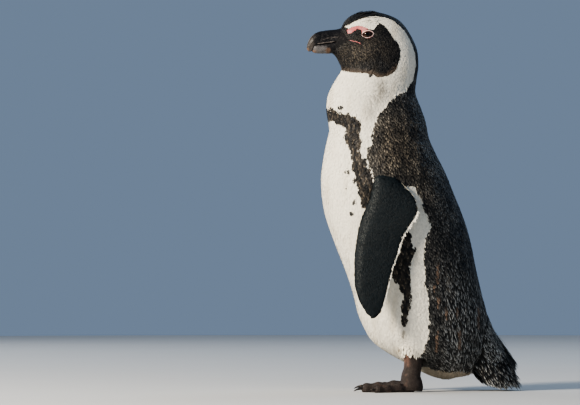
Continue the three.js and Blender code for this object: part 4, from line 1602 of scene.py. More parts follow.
@dataclass
class FlipperPlumage:
    """The small scale-like feathers of a flipper and the white spikes along its trailing edge."""

    flipper: FlipperForm
    hidden: Inside
    sheet: Sheet
    sheen: tuple[float, float] = (0.12, 0.06)  # middle and width of the paler strip, as shares of the chord
    sheen_tone: Colour = (0.10, 0.105, 0.10)
    spikes: int = 280
    spiked: tuple[float, float] = (12.0, 152.0)  # first and last of them, in millimetres from the tip

    def lay(self) -> Feathers:
        """Lays and paints the blade's feathers and its fringe."""
        return Feathers.joined([self.blade(), self.fringe()])

    def blade(self) -> Feathers:
        """Rows of small feathers down both faces of the blade."""
        form = self.flipper
        tract = Tract(
            form,
            (1.2, form.length - 1.0),
            self.sheet,
            lambda t: 2.1 * MM + 0.8 * MM * step(160, 208, t),
            lambda t: (form.coat * MM) + 0.0 * t,
            long=3.2,
            broad=1.7,
            seed=31,
        )
        f = tract.feathers()
        f = f.kept(self.hidden.depth(f.base) < 0.4 * MM)
        rng = np.random.default_rng(9)
        n = len(f)
        outer = f.up[:, 0] * form.sign
        seen = f.spine(0.75)
        edge, level = self.chord(seen), seen[:, 2]
        rough = rng.normal(0, 0.02, n)
        luck, bright = rng.uniform(size=(n, 1)), rng.normal(1, 0.15, (n, 1)).clip(0.5, 1.5)
        # The flipper's black ground, tinted blue as painted sky reflection.
        sky_tinted_slate = Tone.SKY_TINTED_SLATE * bright
        tip = blend(sky_tinted_slate, Tone.SILVER * 0.12, step(0.4, 1.0, luck) * 0.35)
        strip = np.exp(-(((edge + rough - self.sheen[0]) / self.sheen[1]) ** 2)) * step(0.12, 0.17, level)
        tip = blend(tip, np.array(self.sheen_tone) * bright, strip[:, None] * (0.4 + 0.6 * luck))
        trail = step(0.955, 0.985, edge + rough * 0.5) * step(0.10, 0.125, level) * step(0.300, 0.285, level)
        lined = step(0.13, 0.2, edge + rough) * step(0.97, 0.9, edge + rough)
        blotch = step(0.25, 0.6, ripple(seen, 34, 14))
        inner = step(0.12, -0.02, outer)
        white = np.maximum(inner * lined * (1 - blotch), trail * step(0.85, 0.6, outer)) - 0.5
        return f.paint(
            ground=sky_tinted_slate, tip=tip, pale=Tone.WHITE * 0.85 * bright, mark=-white * 5, dull=0.64, ridge=0.03, cup=0.24
        )

    def chord(self, points: Array) -> Array:
        """Share of the way from the leading (0) to the trailing edge (1) at the points' level."""
        form = self.flipper
        t = np.linspace(0, form.length, 300)
        lead, trail = form.at(t, np.full_like(t, math.pi)), form.at(t, np.zeros_like(t))
        low, high = (np.interp(points[:, 2], e[:, 2], e[:, 1]) for e in (lead, trail))
        return (points[:, 1] - low) / np.maximum(high - low, 1e-4)

    def fringe(self) -> Feathers:
        """Short white spikes that stand out along the trailing edge, slanting to the tip."""
        form, rng = self.flipper, np.random.default_rng(13)
        t = np.linspace(*self.spiked, self.spikes) + rng.uniform(-0.3, 0.3, self.spikes)
        n = len(t)
        inset = np.full(n, 1.2 * MM)
        a = rng.normal(0, 0.10, n)
        base = form.at(t, a, inset)
        down = unit(form.at(t - 1, a, inset) - base)
        out = unit(form.at(t, a) - form.at(t, a + math.pi))
        lie = unit(down + out * rng.uniform(0.35, 1.0, n)[:, None])
        tall = step(50, 110, t) * rng.uniform(0.0, 1.0, n) ** 2 * 3.5
        length = (rng.uniform(3.4, 5.2, n) + tall)[:, None] * MM
        up = unit(np.cross(lie, np.cross([form.sign, 0.0, 0.0], lie)))
        white = Tone.WHITE * rng.normal(1.2, 0.08, (n, 1)).clip(0.8, 1.3)
        bake = self.sheet.at(a / TAU % 1.0, t / form.length)
        width, lift = rng.uniform(1.0, 1.5, n) * MM, np.full(n, 0.15 * MM)
        f = Feathers.straight(base, base + lie * length, up, width, lift, bake)
        return f.paint(ground=white, tip=white, pale=white, mark=FAR_OUT, dull=0.8, ridge=0.2, cup=0.3)


@dataclass
class TailPlumage:
    """Stiff quills in an arch, and the spiky coverts that overlap them."""

    tail: TailForm
    hidden: Inside
    markings: Markings
    sheet: Sheet = Sheet(0.60, 0.70, 0.38, 0.28)
    brush_count: int = 3900
    inner_count: int = 1201  # so many of them fill the arch, the others lie over it
    core: tuple[float, float, float] = (0.0, 104.0, 30.0)
    far: tuple[float, float, float] = (0.0, 146.0, 7.0)

    def lay(self) -> Feathers:
        """Lays and paints coverts and the filling of the brush's end."""
        return Feathers.joined([self.coverts(), self.brush()])

    def tones(self, f: Feathers, seed: int) -> Feathers:
        """Paints black-brown feathers with silvery, brown or rufous tips; the silvery and brown tips are partly painted
        highlight.

        Args:
            f: the feathers.
            seed: picks their tones.

        Returns:
            The same feathers, painted.
        """
        rng = np.random.default_rng(seed)
        n = len(f)
        seen = f.spine(0.85)
        luck, bright = rng.uniform(size=(n, 1)), rng.normal(1, 0.2, (n, 1)).clip(0.5, 1.7)
        ground = blend(Tone.BLACK, Tone.SOOT, rng.uniform(size=(n, 1))) * bright
        tone = blend(blend(Tone.SILVER, Tone.TAN, 0.3), Tone.FROST, step(0.55, 0.9, luck))
        tip = blend(ground, tone * 1.5 * bright, step(0.0, 0.4, luck) * 0.95)
        worn = step(2.6, 1.5, self.markings.worn(seen) + rng.normal(0, 0.5, n))[:, None]
        tip, ground = blend(tip, Tone.RUFOUS * bright, worn * 0.95), blend(ground, Tone.RUFOUS * 0.5, worn)
        dull = rng.normal(0.46, 0.05, n)
        return f.paint(ground=ground, tip=tip, pale=tip, mark=-FAR_OUT, dull=dull, ridge=0.09, cup=0.5)

    def coverts(self) -> Feathers:
        """Narrow pointed feathers over the core, longer towards the end."""
        form = self.tail
        tract = Tract(
            form,
            (0.4, form.length - 2),
            self.sheet,
            lambda t: 3.1 * MM + 0.4 * MM * step(40, 0, t),
            lambda t: (form.coat * MM) + 0.0 * t,
            long=5.6,
            broad=0.98,
            seed=51,
        )
        f = tract.feathers()
        f = f.kept(self.hidden.depth(f.base) < 1.0 * MM)
        f.lift *= 1.45
        return self.tones(f.grounded(), 52)

    def brush(self) -> Feathers:
        """Feathers rooted on the core's blunt end and in and over the arch, pointing along the quills."""
        rng = np.random.default_rng(61)
        n = self.brush_count
        place, deep = rng.uniform(-1, 1, n), rng.uniform(0.0, 1.0, n) ** 0.8
        over = np.arange(n) >= self.inner_count
        deep[over] = 0.0
        root, tip = self.tail.quill(place)
        core, far = np.array(self.core) * MM, np.array(self.far) * MM
        base, end = blend(root, core, deep[:, None]), blend(tip, far, deep[:, None])
        lie = unit(end - base + rng.normal(0, 2.2, (n, 3)) * MM)
        size = np.linalg.norm(end - base, axis=-1)
        long = np.minimum(size, np.where(over, rng.uniform(12, 20, n), rng.uniform(16, 30, n)) * MM)
        back = rng.uniform(0, 1.12, n) ** np.where(over, 0.9, 1.2) * np.maximum(size - long, 0)
        end = end - lie * back[:, None]
        start = end - lie * long[:, None]
        outward = unit(start - core + 1e-6)
        up = unit(np.cross(lie, np.cross(outward, lie)))
        bake = self.sheet.at((place + 1) / 2, 0.02 + 0.1 * deep)
        start, end = start + up * (over * 0.5 * MM)[:, None], end + up * (over * 0.9 * MM)[:, None]
        width, lift = rng.uniform(1.9, 3.2, n) * MM, np.where(over, rng.uniform(0.3, 1.6, n), 0.3) * MM
        f = Feathers.straight(start, end, up, width, lift, bake)
        return self.tones(f.grounded(), 62)


@dataclass
class TailQuills:
    """The long stiff feathers of the tail, each a tapering blade with a shaft along its top."""

    tail: TailForm
    count: int = 37
    half_width: float = 3.3
    thickness: float = 1.6
    roll: float = 1.3
    dull: float = 0.46
    around: int = 8  # points round a quill
    along: int = 30  # sections of a quill

    def build(self) -> Object:
        """All quills in one mesh, painted, with a bake map of their own patches."""
        places = np.linspace(-1, 1, self.count)
        shells = [self.quill(p, i) for i, p in enumerate(places)]
        obj = Shell.joined(shells).place("tail_quills")
        per = len(shells[0].points)
        rng = np.random.default_rng(3)
        bright = np.repeat(rng.normal(1, 0.25, self.count).clip(0.5, 1.6), per)[:, None]
        points = mesh_points(obj.data)
        fine = ripple(points, 5, 6, (3, 1, 1))[:, None]
        tone = blend(Tone.BLACK * 1.3, Tone.SILVER * 0.5, step(0.1, 1.0, fine) * 0.12) * bright
        end = np.tile(step(0.8, 1.0, self.shares(per)), self.count)[:, None]
        tone = blend(tone, Tone.SILVER * 0.8 * bright, end * 0.5)
        edge = blend(Tone.SILVER, Tone.FROST, np.repeat(rng.uniform(0, 1, self.count), per)[:, None]) * bright
        for key, colour in (("plume", tone), ("plume_pale", tone), ("plume_tip", edge)):
            store(obj.data, key, colour, self.dull)
        store(obj.data, "mark", np.full(len(tone), -FAR_OUT))
        self.map(obj, places, per)
        return obj

    def shares(self, per: int) -> Array:
        """Each point's share of the way from a quill's root to its tip; the last two close its ends."""
        last = self.along - 1
        ring = np.minimum(np.arange(per) // self.around, last) / last
        ring[-2:] = (0.0, 1.0)
        return ring

    def quill(self, place: float, number: int) -> Shell:
        """One quill: a flat diamond section that swells, then runs to a worn point.

        Args:
            place: where it leaves the arch, from -1 to 1.
            number: picks its wear.

        Returns:
            The closed blade.
        """
        root, tip = (p[0] for p in self.tail.quill(np.array([place])))
        rng = np.random.default_rng(100 + number)
        tip = tip + (root - tip) * rng.uniform(0, 0.10)
        share = np.linspace(0, 1, self.along)
        path = blend(root, tip, share[:, None])
        path[:, 0] += place * 2.0 * MM * np.sin(share * math.pi)
        slope = math.atan2(tip[1] - root[1], root[2] - tip[2])
        roll = place * self.roll
        up = np.array([math.sin(roll), math.cos(roll) * math.cos(slope), math.cos(roll) * math.sin(slope)])
        outline = np.interp(share, [0, 0.5, 0.8, 0.93, 1], [0.7, 1.0, 0.8, 0.4, 0.06])
        nicks = 1 + 0.05 * np.sin(share * 90 + number) * step(0.5, 0.9, share)
        side = self.half_width * MM * outline * nicks
        lift = self.thickness / 2 * MM * np.maximum(outline, 0.35)
        shell = sweep(path, side, lift, up, self.around, 1.5)
        return shell.moved(lambda p: np.maximum(p, [FAR_OUT, FAR_OUT, 0.2 * MM]))

    def map(self, obj: Object, places: Array, per: int) -> None:
        """Vane coordinates along each quill, and one small bake patch to a quill."""
        around = 0.5 + 0.5 * np.cos((np.arange(per) % self.around) * TAU / self.around)
        local = np.tile(np.stack([around, self.shares(per)], -1), (len(places), 1))
        corner = np.stack([0.62 + 0.34 * (places + 1) / 2, np.full_like(places, 0.685)], -1)
        bake = np.repeat(corner, per, axis=0) + (local - 0.5) * np.array([0.01, 0.02])
        unwrap(obj.data, vane=local, OFBake=bake)


@dataclass
class Cuffs:
    """The short feathers that hang over the top of each leg."""

    foot: FootForm
    sheet: Sheet
    levels: tuple[float, float, float] = (57.0, 80.0, 1.6)  # lowest ring, top and pitch in millimetres
    per_ring: int = 56
    sunk: float = 0.3  # millimetres under the leg's skin

    def lay(self) -> Feathers:
        """Rings of small feathers on the upper leg, a few of them dark in front."""
        rng = np.random.default_rng(21)
        t = np.repeat(np.arange(*self.levels), self.per_ring)
        n = len(t)
        ring, place = np.divmod(np.arange(n), self.per_ring)
        a = (place + 0.5 * (ring % 2)) / self.per_ring * TAU
        a = a + rng.normal(0, 0.05, n)
        y, width, depth = smooth_columns(self.foot.rings[:, 0], self.foot.rings[:, 1:], t.clip(0, 70)).T
        x, y = self.foot.ankle[0] + (width - self.sunk) * np.sin(a), y - (depth - self.sunk) * np.cos(a)
        base = self.foot.stood(np.stack([x, y, t + rng.uniform(-1, 1, n)], -1))
        up = unit(np.stack([np.sin(a) * self.foot.side.sign, -np.cos(a), 0.15 + 0 * a], -1))
        length = rng.uniform(4, 12, n)[:, None] * MM
        sway = rng.normal(0, 0.12, n)[:, None] * np.cross(up, [0, 0, -1.0])
        lie = unit(np.array([0, 0, -1.0]) - up * 0.10 + sway)
        front = np.cos(a) + rng.normal(0, 0.1, n)
        bright = rng.normal(1, 0.1, (n, 1)).clip(0.6, 1.3)
        pale = blend(Tone.WHITE, Tone.CREAM, 0.3) * bright
        bake = self.sheet.at(a / TAU % 1.0, (t - 56) / 24)
        width, lift = rng.uniform(1.8, 3.0, n) * MM, rng.uniform(0.8, 1.5, n) * MM
        f = Feathers.straight(base, base + lie * length, up, width, lift, bake)
        pale = blend(pale, Tone.BROWN * 2.0, step(1.0, 1.14, front)[:, None] * 0.7)
        return f.paint(ground=Tone.SOOT, tip=Tone.BROWN, pale=pale, mark=FAR_OUT, dull=0.7, ridge=0.03, cup=0.15)


# ---- flesh
@dataclass
class Skin:
    """One unbroken skin under the plumage, bare at the brow, the legs and the feet."""

    body: BodyForm
    tail: TailForm
    flippers: Sequence[FlipperForm]
    feet: Sequence[FootForm]
    markings: Markings
    columns: int = 184
    neck_knot: int = 18  # the station above which rows lie close together
    socket: float = 6.5  # depth of the eye's socket in millimetres
    face_floor: float = 0.47  # metres; eyes, brow and horn plate lie above

    def body_shell(self) -> Shell:
        """The body's skin as rings, close together on the head, with a socket sunk for each eye."""
        knots = self.body.loft.knots
        neck = knots[self.neck_knot]
        t = np.concatenate([np.arange(0, neck, 2.8), np.linspace(neck, knots[-1], 130)])
        angle = circle(self.columns)
        inset = self.body.coat_depth(t)[:, None]
        points = self.body.at(t[:, None], angle[None], inset)
        flat = points.reshape(-1, 3)
        share = Eye.ring_share(self.markings.elevation.of(flat)).reshape(points.shape[:2])
        near = (points[..., 2] > self.face_floor) & (np.abs(points[..., 0]) > 0.012)
        sunk = self.socket * MM * step(0.90, 0.42, share) * near
        horny = self.markings.horny(flat).reshape(points.shape[:2])
        plate = step(-0.3, 1.0, horny) * (points[..., 2] > self.face_floor)
        pocks = ripple(points, 3.2, 41, (1, 0.5, 1)) * 0.05 * MM
        tuck = step(-107, -114, points[..., 1] / MM) * 1.5 * MM
        bare = self.markings.bare(flat).reshape(points.shape[:2])
        puff = 0.5 * MM * step(-0.2, 2.2, bare) * near * step(0.9, 1.1, share)
        raised = plate * (0.5 * MM + pocks) + puff - tuck
        return Shell.tube(self.body.at(t[:, None], angle[None], inset + sunk - raised))

    def tail_shell(self) -> Shell:
        """The skin of the tail's core."""
        t = np.linspace(0, self.tail.length, 46)[:, None]
        return Shell.tube(self.tail.at(t, circle(64)[None], self.tail.coat * MM))

    @staticmethod
    def flipper_shell(form: FlipperForm) -> Shell:
        """A flipper's skin."""
        t = np.linspace(0, form.length, 90)[:, None]
        return Shell.tube(form.at(t, circle(48)[None], form.coat * MM))

    @staticmethod
    def foot_object(foot: FootForm) -> Object:
        """Leg, toes and webs melted into one skin and smoothed, flat on the floor.

        Args:
            foot: the form.

        Returns:
            The new object.
        """
        obj = foot.flesh().place(f"foot_{foot.side.label}")
        melt = obj.modifiers.new("melt", "REMESH")
        melt.mode, melt.voxel_size = "VOXEL", 0.95 * MM
        ease = obj.modifiers.new("ease", "SMOOTH")
        ease.factor, ease.iterations = 0.5, 3
        thin = obj.modifiers.new("thin", "DECIMATE")
        thin.ratio = 0.42
        settle(obj)
        points = mesh_points(obj.data)
        points[:, 2] = np.maximum(np.where(points[:, 2] < 0.5 * MM, 0.0, points[:, 2]), 0.0)
        obj.data.vertices.foreach_set("co", points.astype(np.float32).ravel())
        return obj

    def build(self) -> Object:
        """Joins all parts into one skin and stores its tones and masks."""
        skin = self.body_shell().place("skin")
        parts = [self.tail_shell().place("tail_core")]
        parts += [self.flipper_shell(form).place("flipper_core") for form in self.flippers]
        parts += [self.foot_object(foot) for foot in self.feet]
        for part in parts:
            weld = skin.modifiers.new("weld", "BOOLEAN")
            weld.operation, weld.solver, weld.object = "UNION", "MANIFOLD", part
        settle(skin)
        for part in parts:
            bpy.data.objects.remove(part)
        skin.data.polygons.foreach_set("use_smooth", np.ones(len(skin.data.polygons), bool))
        self.paint(skin.data)
        return skin

    def paint(self, mesh: Mesh) -> None:
        """Stores what the skin's finish reads: its tone, bare and horny depths, scaly and rosy shares.

        Args:
            mesh: the joined skin.
        """
        p = mesh_points(mesh)
        dark = step(-0.6, 0.6, self.markings.dark(p))[:, None]
        flipper = (np.abs(p[:, 0]) > 0.0865) | ((np.abs(p[:, 0]) > 0.078) & (p[:, 2] < 0.13))
        dark = np.where((flipper & (p[:, 2] < 0.32))[:, None], 1.0, dark)
        tone = blend(Tone.WHITE * 0.72, Tone.BLACK * 1.2, dark)
        store(mesh, "tone", tone)
        head = (p[:, 2] > HEAD_FLOOR) & (p[:, 1] < -0.03)
        bare = np.where(head, self.markings.bare(p), FAR_OUT)
        ring = Eye.ring_share(self.markings.elevation.of(p))
        store(mesh, "bare_mm", np.where(head & (ring < 0.6), np.maximum(bare, 1.0), bare))
        store(mesh, "horny_mm", np.where(p[:, 2] > HEAD_FLOOR, self.markings.horny(p), FAR_OUT))
        leg = np.zeros(len(p))
        rosy = np.zeros(len(p))
        for foot in self.feet:
            centre = foot.stood(np.array([[*foot.ankle, 0.0]]))[0]
            gap = np.abs(p[:, 0] - centre[0])
            leg = np.maximum(leg, step(0.061, 0.056, p[:, 2]) * (gap < 0.034) * (p[:, 1] < centre[1] + 0.02))
            front = step(0.0, -0.012, p[:, 1] - centre[1])
            rosy = np.maximum(rosy, front * step(0.014, 0.058, p[:, 2]) * (gap < 0.03))
        store(mesh, "scaly", leg)
        store(mesh, "rosy", rosy)


@dataclass
class Eye:
    """An eyeball set in its socket and the ring of bare skin that holds it."""

    side: Side
    centre: tuple[float, float, float] = (20.4, -68.0, 508.5)
    radius: float = 9.5
    opening: tuple[float, float] = (6.6, 4.0)
    band: float = 1.6
    tilt: float = 7.0
    toe_in: float = 6.0
    seen_at: ClassVar[tuple[float, float]] = (-65.2, 508.6)
    oval: ClassVar[tuple[float, float]] = (9.0, 6.4)

    @classmethod
    def ring_share(cls, at: Array) -> Array:
        """How far elevation points lie from the eye, as a share of the ring's outer oval."""
        along, over = turned(at[..., 0] - cls.seen_at[0], at[..., 1] - cls.seen_at[1], -cls.tilt)
        return np.hypot(along / cls.oval[0], over / cls.oval[1])

    def placed(self, points: Array) -> Array:
        """Points round the eye's centre in millimetres, looking along +X, brought to this side in metres."""
        x, y = turned(points[..., 0], points[..., 1], -self.toe_in)
        moved = np.stack([x, y, points[..., 2]], -1) + np.array(self.centre)
        return moved * np.array([self.side.sign, 1.0, 1.0]) * MM

    def ball(self) -> Object:
        """The eyeball: a sphere with a slight bulge of the cornea over the iris."""
        polar = np.linspace(0.02, math.pi - 0.02, 72)[:, None]
        around = circle(64)[None]
        off = self.radius * np.sin(polar)
        bulge = 0.4 * np.exp(-((off / 4.9) ** 4)) * (np.cos(polar) > 0)
        r = self.radius + bulge
        local = np.stack(
            [r * np.cos(polar) + 0 * around, r * np.sin(polar) * np.cos(around), r * np.sin(polar) * np.sin(around)], -1
        )
        shell = Shell.tube(self.placed(local))
        obj = shell.place(f"eye_{self.side.label}")
        front = np.concatenate([(off + 0 * around).ravel(), [0.0, self.radius]])
        behind = np.concatenate([((np.cos(polar) < 0) + 0 * around).ravel(), [0.0, 1.0]])
        store(obj.data, "off_axis", np.where(behind > 0.5, self.radius, front))
        return obj

    def ring(self) -> Object:
        """The lids: a rounded band that follows an almond on the ball, thicker above.

        The almond is an oval drawn out to a point at both corners. Each section is an oval standing on
        the ball: its width lies along the ball's surface and its height away from it.
        """
        s = circle(160)
        a, b = self.opening
        pinch = 1 + 0.10 * np.abs(np.cos(s)) ** 6
        beads = 1 + 0.05 * np.sin(s * 23) * np.sin(s * 7 + 1)
        wide = self.band * (1 + 0.12 * np.sin(s)) * beads
        u, v = (a + self.band * 0.55) * np.cos(s) * pinch, (b + self.band * 0.55) * np.sin(s)
        y, z = turned(u, v, self.tilt)
        ball = self.radius + 0.15
        x = np.maximum(np.sqrt(ball**2 - (y * y + z * z)), 7.3)
        centre = np.stack([x, y, z], -1)
        normal = unit(centre)
        along = unit(np.roll(centre, -1, 0) - np.roll(centre, 1, 0))
        outward = np.cross(along, normal)
        outward *= np.sign(np.einsum("ij,ij->i", outward, np.stack([0 * y, y, z], -1)))[:, None]
        phi = circle(20)
        height = 0.95 * (1 + 0.25 * np.sin(s)) * beads
        rings = (
            centre[:, None]
            + outward[:, None] * (wide[:, None] * 0.62 * np.cos(phi))[..., None]
            + normal[:, None] * (height[:, None] * (np.sin(phi) - 0.12))[..., None]
        )
        points = self.placed(rings).reshape(-1, 3)
        r, c = np.meshgrid(np.arange(160), np.arange(20), indexing="ij")
        here = r * 20 + c
        quads = np.stack([here, r * 20 + (c + 1) % 20, (r + 1) % 160 * 20 + (c + 1) % 20, (r + 1) % 160 * 20 + c], -1)
        shell = Shell(points, quads.reshape(-1, 4), np.empty((0, 3), int)).outward()
        obj = shell.place(f"eye_ring_{self.side.label}")
        inner = np.broadcast_to(np.clip(-np.cos(phi), 0, 1), (160, 20)).ravel()
        store(obj.data, "inner", inner)
        return obj


@dataclass(eq=False)
class Bill:
    """Upper and lower mandible: stout, grooved and hooked, black with a pale band near the tip."""

    upper: Loft = lofted(
        [-108.5, 500.0, -98.8, 520.6, 13.0, 0.25, 2.3],
        [-112.6, 499.2, -103.4, 519.4, 11.9, 0.25, 2.3],
        [-120, 497.6, -112, 517.4, 10.4, 0.25, 2.3],
        [-127, 496.7, -121, 516.5, 9.4, 0.25, 2.3],
        [-133, 495.6, -130.5, 515.2, 8.6, 0.25, 2.2],
        [-138.6, 494.6, -137.4, 513.5, 7.9, 0.28, 2.2],
        [-142.6, 493.6, -143.2, 510.4, 7.1, 0.3, 2.1],
        [-144.8, 490.6, -147.9, 506.2, 6.2, 0.35, 2.0],
        [-146.2, 487.6, -151.0, 500.6, 5.0, 0.4, 2.0],
        [-148.4, 485.6, -152.9, 495.2, 3.6, 0.45, 2.0],
        [-151.3, 486.0, -153.5, 490.0, 1.7, 0.5, 2.0],
        ventral=8.0,
    )
    lower: Loft = lofted(
        [-115.5, 483.4, -108.5, 499.6, 11.8, 0.75, 2.2],
        [-120.2, 482.8, -113.4, 498.4, 10.6, 0.75, 2.2],
        [-127, 482.8, -122, 496.9, 8.9, 0.75, 2.2],
        [-133, 482.6, -131, 495.7, 7.9, 0.75, 2.2],
        [-138.6, 482.8, -138.6, 494.5, 7, 0.75, 2.1],
        [-143.4, 484, -143.2, 493.2, 5.6, 0.7, 2.0],
        [-146.2, 486.2, -146, 490.6, 3, 0.6, 2.0],
        dorsal=8.0,
    )

    nostril: tuple[float, float] = (-121.5, 503.4)
    long_groove: Line = ((-104, 510.5), (-118, 507.5), (-130, 504.5), (-141, 503))
    low_groove: Line = ((-104, 503.8), (-120, 500.8), (-138, 498.6))
    plate_edge: Line = ((518, -131), (508, -133), (498, -135))  # (z, y)
    lower_groove: Line = ((-113, 490), (-126, 490.4), (-137, 490.2))
    gape_streak: Line = ((-104, 499.2), (-120, 498.6), (-130, 497.4), (-138, 496.2))
    side_streak: Line = ((-106, 505.5), (-120, 505.4), (-131, 502))

    @staticmethod
    def grid(loft: Loft, rows: int, cols: int) -> tuple[Array, Array, Array]:
        """Points, outward directions and angles of a mandible's grid."""
        t, a = np.meshgrid(np.linspace(0, loft.knots[-1], rows), circle(cols), indexing="ij")
        points = loft.at(t, a)
        return points, unit(points - loft.at(t, a, 0.4 * MM)), a

    @staticmethod
    def painted(name: str, shell: Shell, *washes: tuple[Colour, Array]) -> Object:
        """Places a mandible in black horn with washes of colour over it.

        Args:
            name: the object's name.
            shell: the mandible.
            *washes: colours, each with its share at every point.

        Returns:
            The new object.
        """
        obj = shell.place(name)
        horn = np.tile(Tone.HORN, (len(shell.points), 1))
        for colour, share in washes:
            horn = blend(horn, np.array(colour), share[:, None])
        store(obj.data, "tone", horn)
        return obj

    def spot(self, y: Array, z: Array, long: float, high: float) -> Array:
        """1 at the nostril, falling off as a bell over a length and a height in millimetres."""
        return np.exp(-(((y - self.nostril[0]) / long) ** 2) - (((z - self.nostril[1]) / high) ** 2))

    @staticmethod
    def groove(y: Array, z: Array, line: Line, width: float) -> Array:
        """A bell across a line of the side view, and 0 past its ends.

        Args:
            y: places, in millimetres.
            z: places, in millimetres.
            line: (y, z) of the line's corners, with falling y.
            width: the bell's half width.

        Returns:
            1 on the line, falling off to both sides.
        """
        corners = np.array(line, float)[::-1]
        level = np.interp(y, corners[:, 0], corners[:, 1])
        first, last = corners[0, 0], corners[-1, 0]
        ends = step(first - 1.5, first + 1.0, y) * step(last + 1.5, last - 1.0, y)
        return np.exp(-(((z - level) / width) ** 2)) * ends

    def upper_object(self) -> Object:
        """The upper mandible with its plates' grooves, nostrils and cutting edge."""
        points, out, a = self.grid(self.upper, 130, 96)
        y, z = points[..., 1] / MM, points[..., 2] / MM
        flank = np.abs(np.sin(a)) > 0.35
        long_groove = self.groove(y, z, self.long_groove, 1.0) * flank
        low_groove = self.groove(y, z, self.low_groove, 0.8) * flank
        nostril = self.spot(y + 0.17347 * (z - self.nostril[1]), z, 3.0612, 1.0) * flank
        plates = self.groove(z, y, self.plate_edge, 0.8) * flank
        rough = ripple(points, 3.2, 41, (1, 0.5, 1)) * 0.10 + ripple(points, 8, 42) * 0.16
        flakes = ripple(points, 1.6, 44, (1, 0.3, 1.6)) * 0.05
        change = rough + flakes - 0.55 * long_groove - 0.4 * low_groove - 1.5 * nostril - 0.22 * plates
        edge = np.exp(-(((a - math.pi + np.sign(a - math.pi) * -0.9) / 0.2) ** 2))
        change = change + 0.25 * edge
        shell = Shell.tube(points + out * (change * MM)[..., None])
        y, z = shell.points[:, 1] / MM, shell.points[:, 2] / MM
        streak = self.groove(y, z, self.gape_streak, 0.55)
        streak = np.maximum(streak, 0.55 * self.groove(y, z, self.side_streak, 0.45))
        wash = step(-0.2, 0.8, ripple(shell.points, 4, 46, (1, 0.3, 1)))
        return self.painted(
            "bill_upper",
            shell,
            ((0.044, 0.038, 0.034), 0.9 * step(-139, -149, y + ripple(shell.points, 5, 45))),  # worn end
            (Tone.HORN * 1.3, 0.55 * step(509, 512, z) * step(-150, -143, y)),  # ridge
            ((0.17, 0.10, 0.062), 0.7 * step(-149.5, -152, y) * step(492, 488, z)),  # hook
            ((0.24, 0.21, 0.19), streak * (0.35 + 0.5 * wash)),  # pale streaks along the gape
            # Painted shade inside the nostril's hollow.
            (Tone.HORN * 0.3, self.spot(y, z, 2.4, 0.8)),  # nostril
        )

    def lower_object(self) -> Object:
        """The lower mandible, its pale patch and its brown edge near the tip."""
        points, out, a = self.grid(self.lower, 100, 84)
        y, z = points[..., 1] / MM, points[..., 2] / MM
        flank = np.abs(np.sin(a)) > 0.4
        groove = self.groove(y, z, self.lower_groove, 0.9) * flank
        rough = ripple(points, 3.4, 51, (1, 0.5, 1)) * 0.10 + ripple(points, 8, 52) * 0.14
        shell = Shell.tube(points + out * ((rough - 0.4 * groove) * MM)[..., None])
        y, z = shell.points[:, 1] / MM, shell.points[:, 2] / MM
        wobble = 1.3 * ripple(shell.points, 3.4, 53) + 0.6 * ripple(shell.points, 1.3, 54)
        patch = step(-124, -127, y + wobble) * step(-147, -144, y) * step(494.5, 491.5, z + 0.6 * wobble)
        brown = step(-119.5, -122, y + wobble) * step(-128.5, -125, y + wobble) * step(492, 488, z)
        return self.painted(
            "bill_lower",
            shell,
            ((0.105, 0.10, 0.10), patch * 0.9),
            ((0.12, 0.072, 0.046), brown * 0.7),
            ((0.20, 0.105, 0.055), 0.75 * step(-138, -145, y) * step(488.5, 485.5, z)),  # edge near the tip
        )


@dataclass
class Claws:
    """The claws of one foot."""

    foot: FootForm

    def build(self) -> Object:
        """All four claws in one mesh."""
        shells = [self.foot.claw(toe).moved(self.foot.stood) for toe in self.foot.toes.values()]
        obj = Shell.joined(shells).place(f"claws_{self.foot.side.label}")
        points = mesh_points(obj.data)
        pale = step(0.0, 1.0, ripple(points, 6, 71))[:, None]
        tone = blend(np.array([0.014, 0.012, 0.011]), np.array([0.06, 0.048, 0.040]), pale)
        store(obj.data, "tone", tone)
        return obj


# ---- studio
@dataclass(frozen=True)
class Lamp:
    """A soft square light aimed at the bird."""

    name: str
    place: tuple[float, float, float]
    size: float
    power: float
    tint: Colour

    def hang(self) -> None:
        """Adds the light."""
        lamp = bpy.data.lights.new(self.name, "AREA")
        lamp.size, lamp.energy, lamp.color = self.size, self.power, self.tint
        obj = bpy.data.objects.new(self.name, lamp)
        aim = Vector((0.0, 0.0, 0.28)) - Vector(self.place)
        obj.location, obj.rotation_euler = self.place, aim.to_track_quat("-Z", "Y").to_euler()
        bpy.context.scene.collection.objects.link(obj)


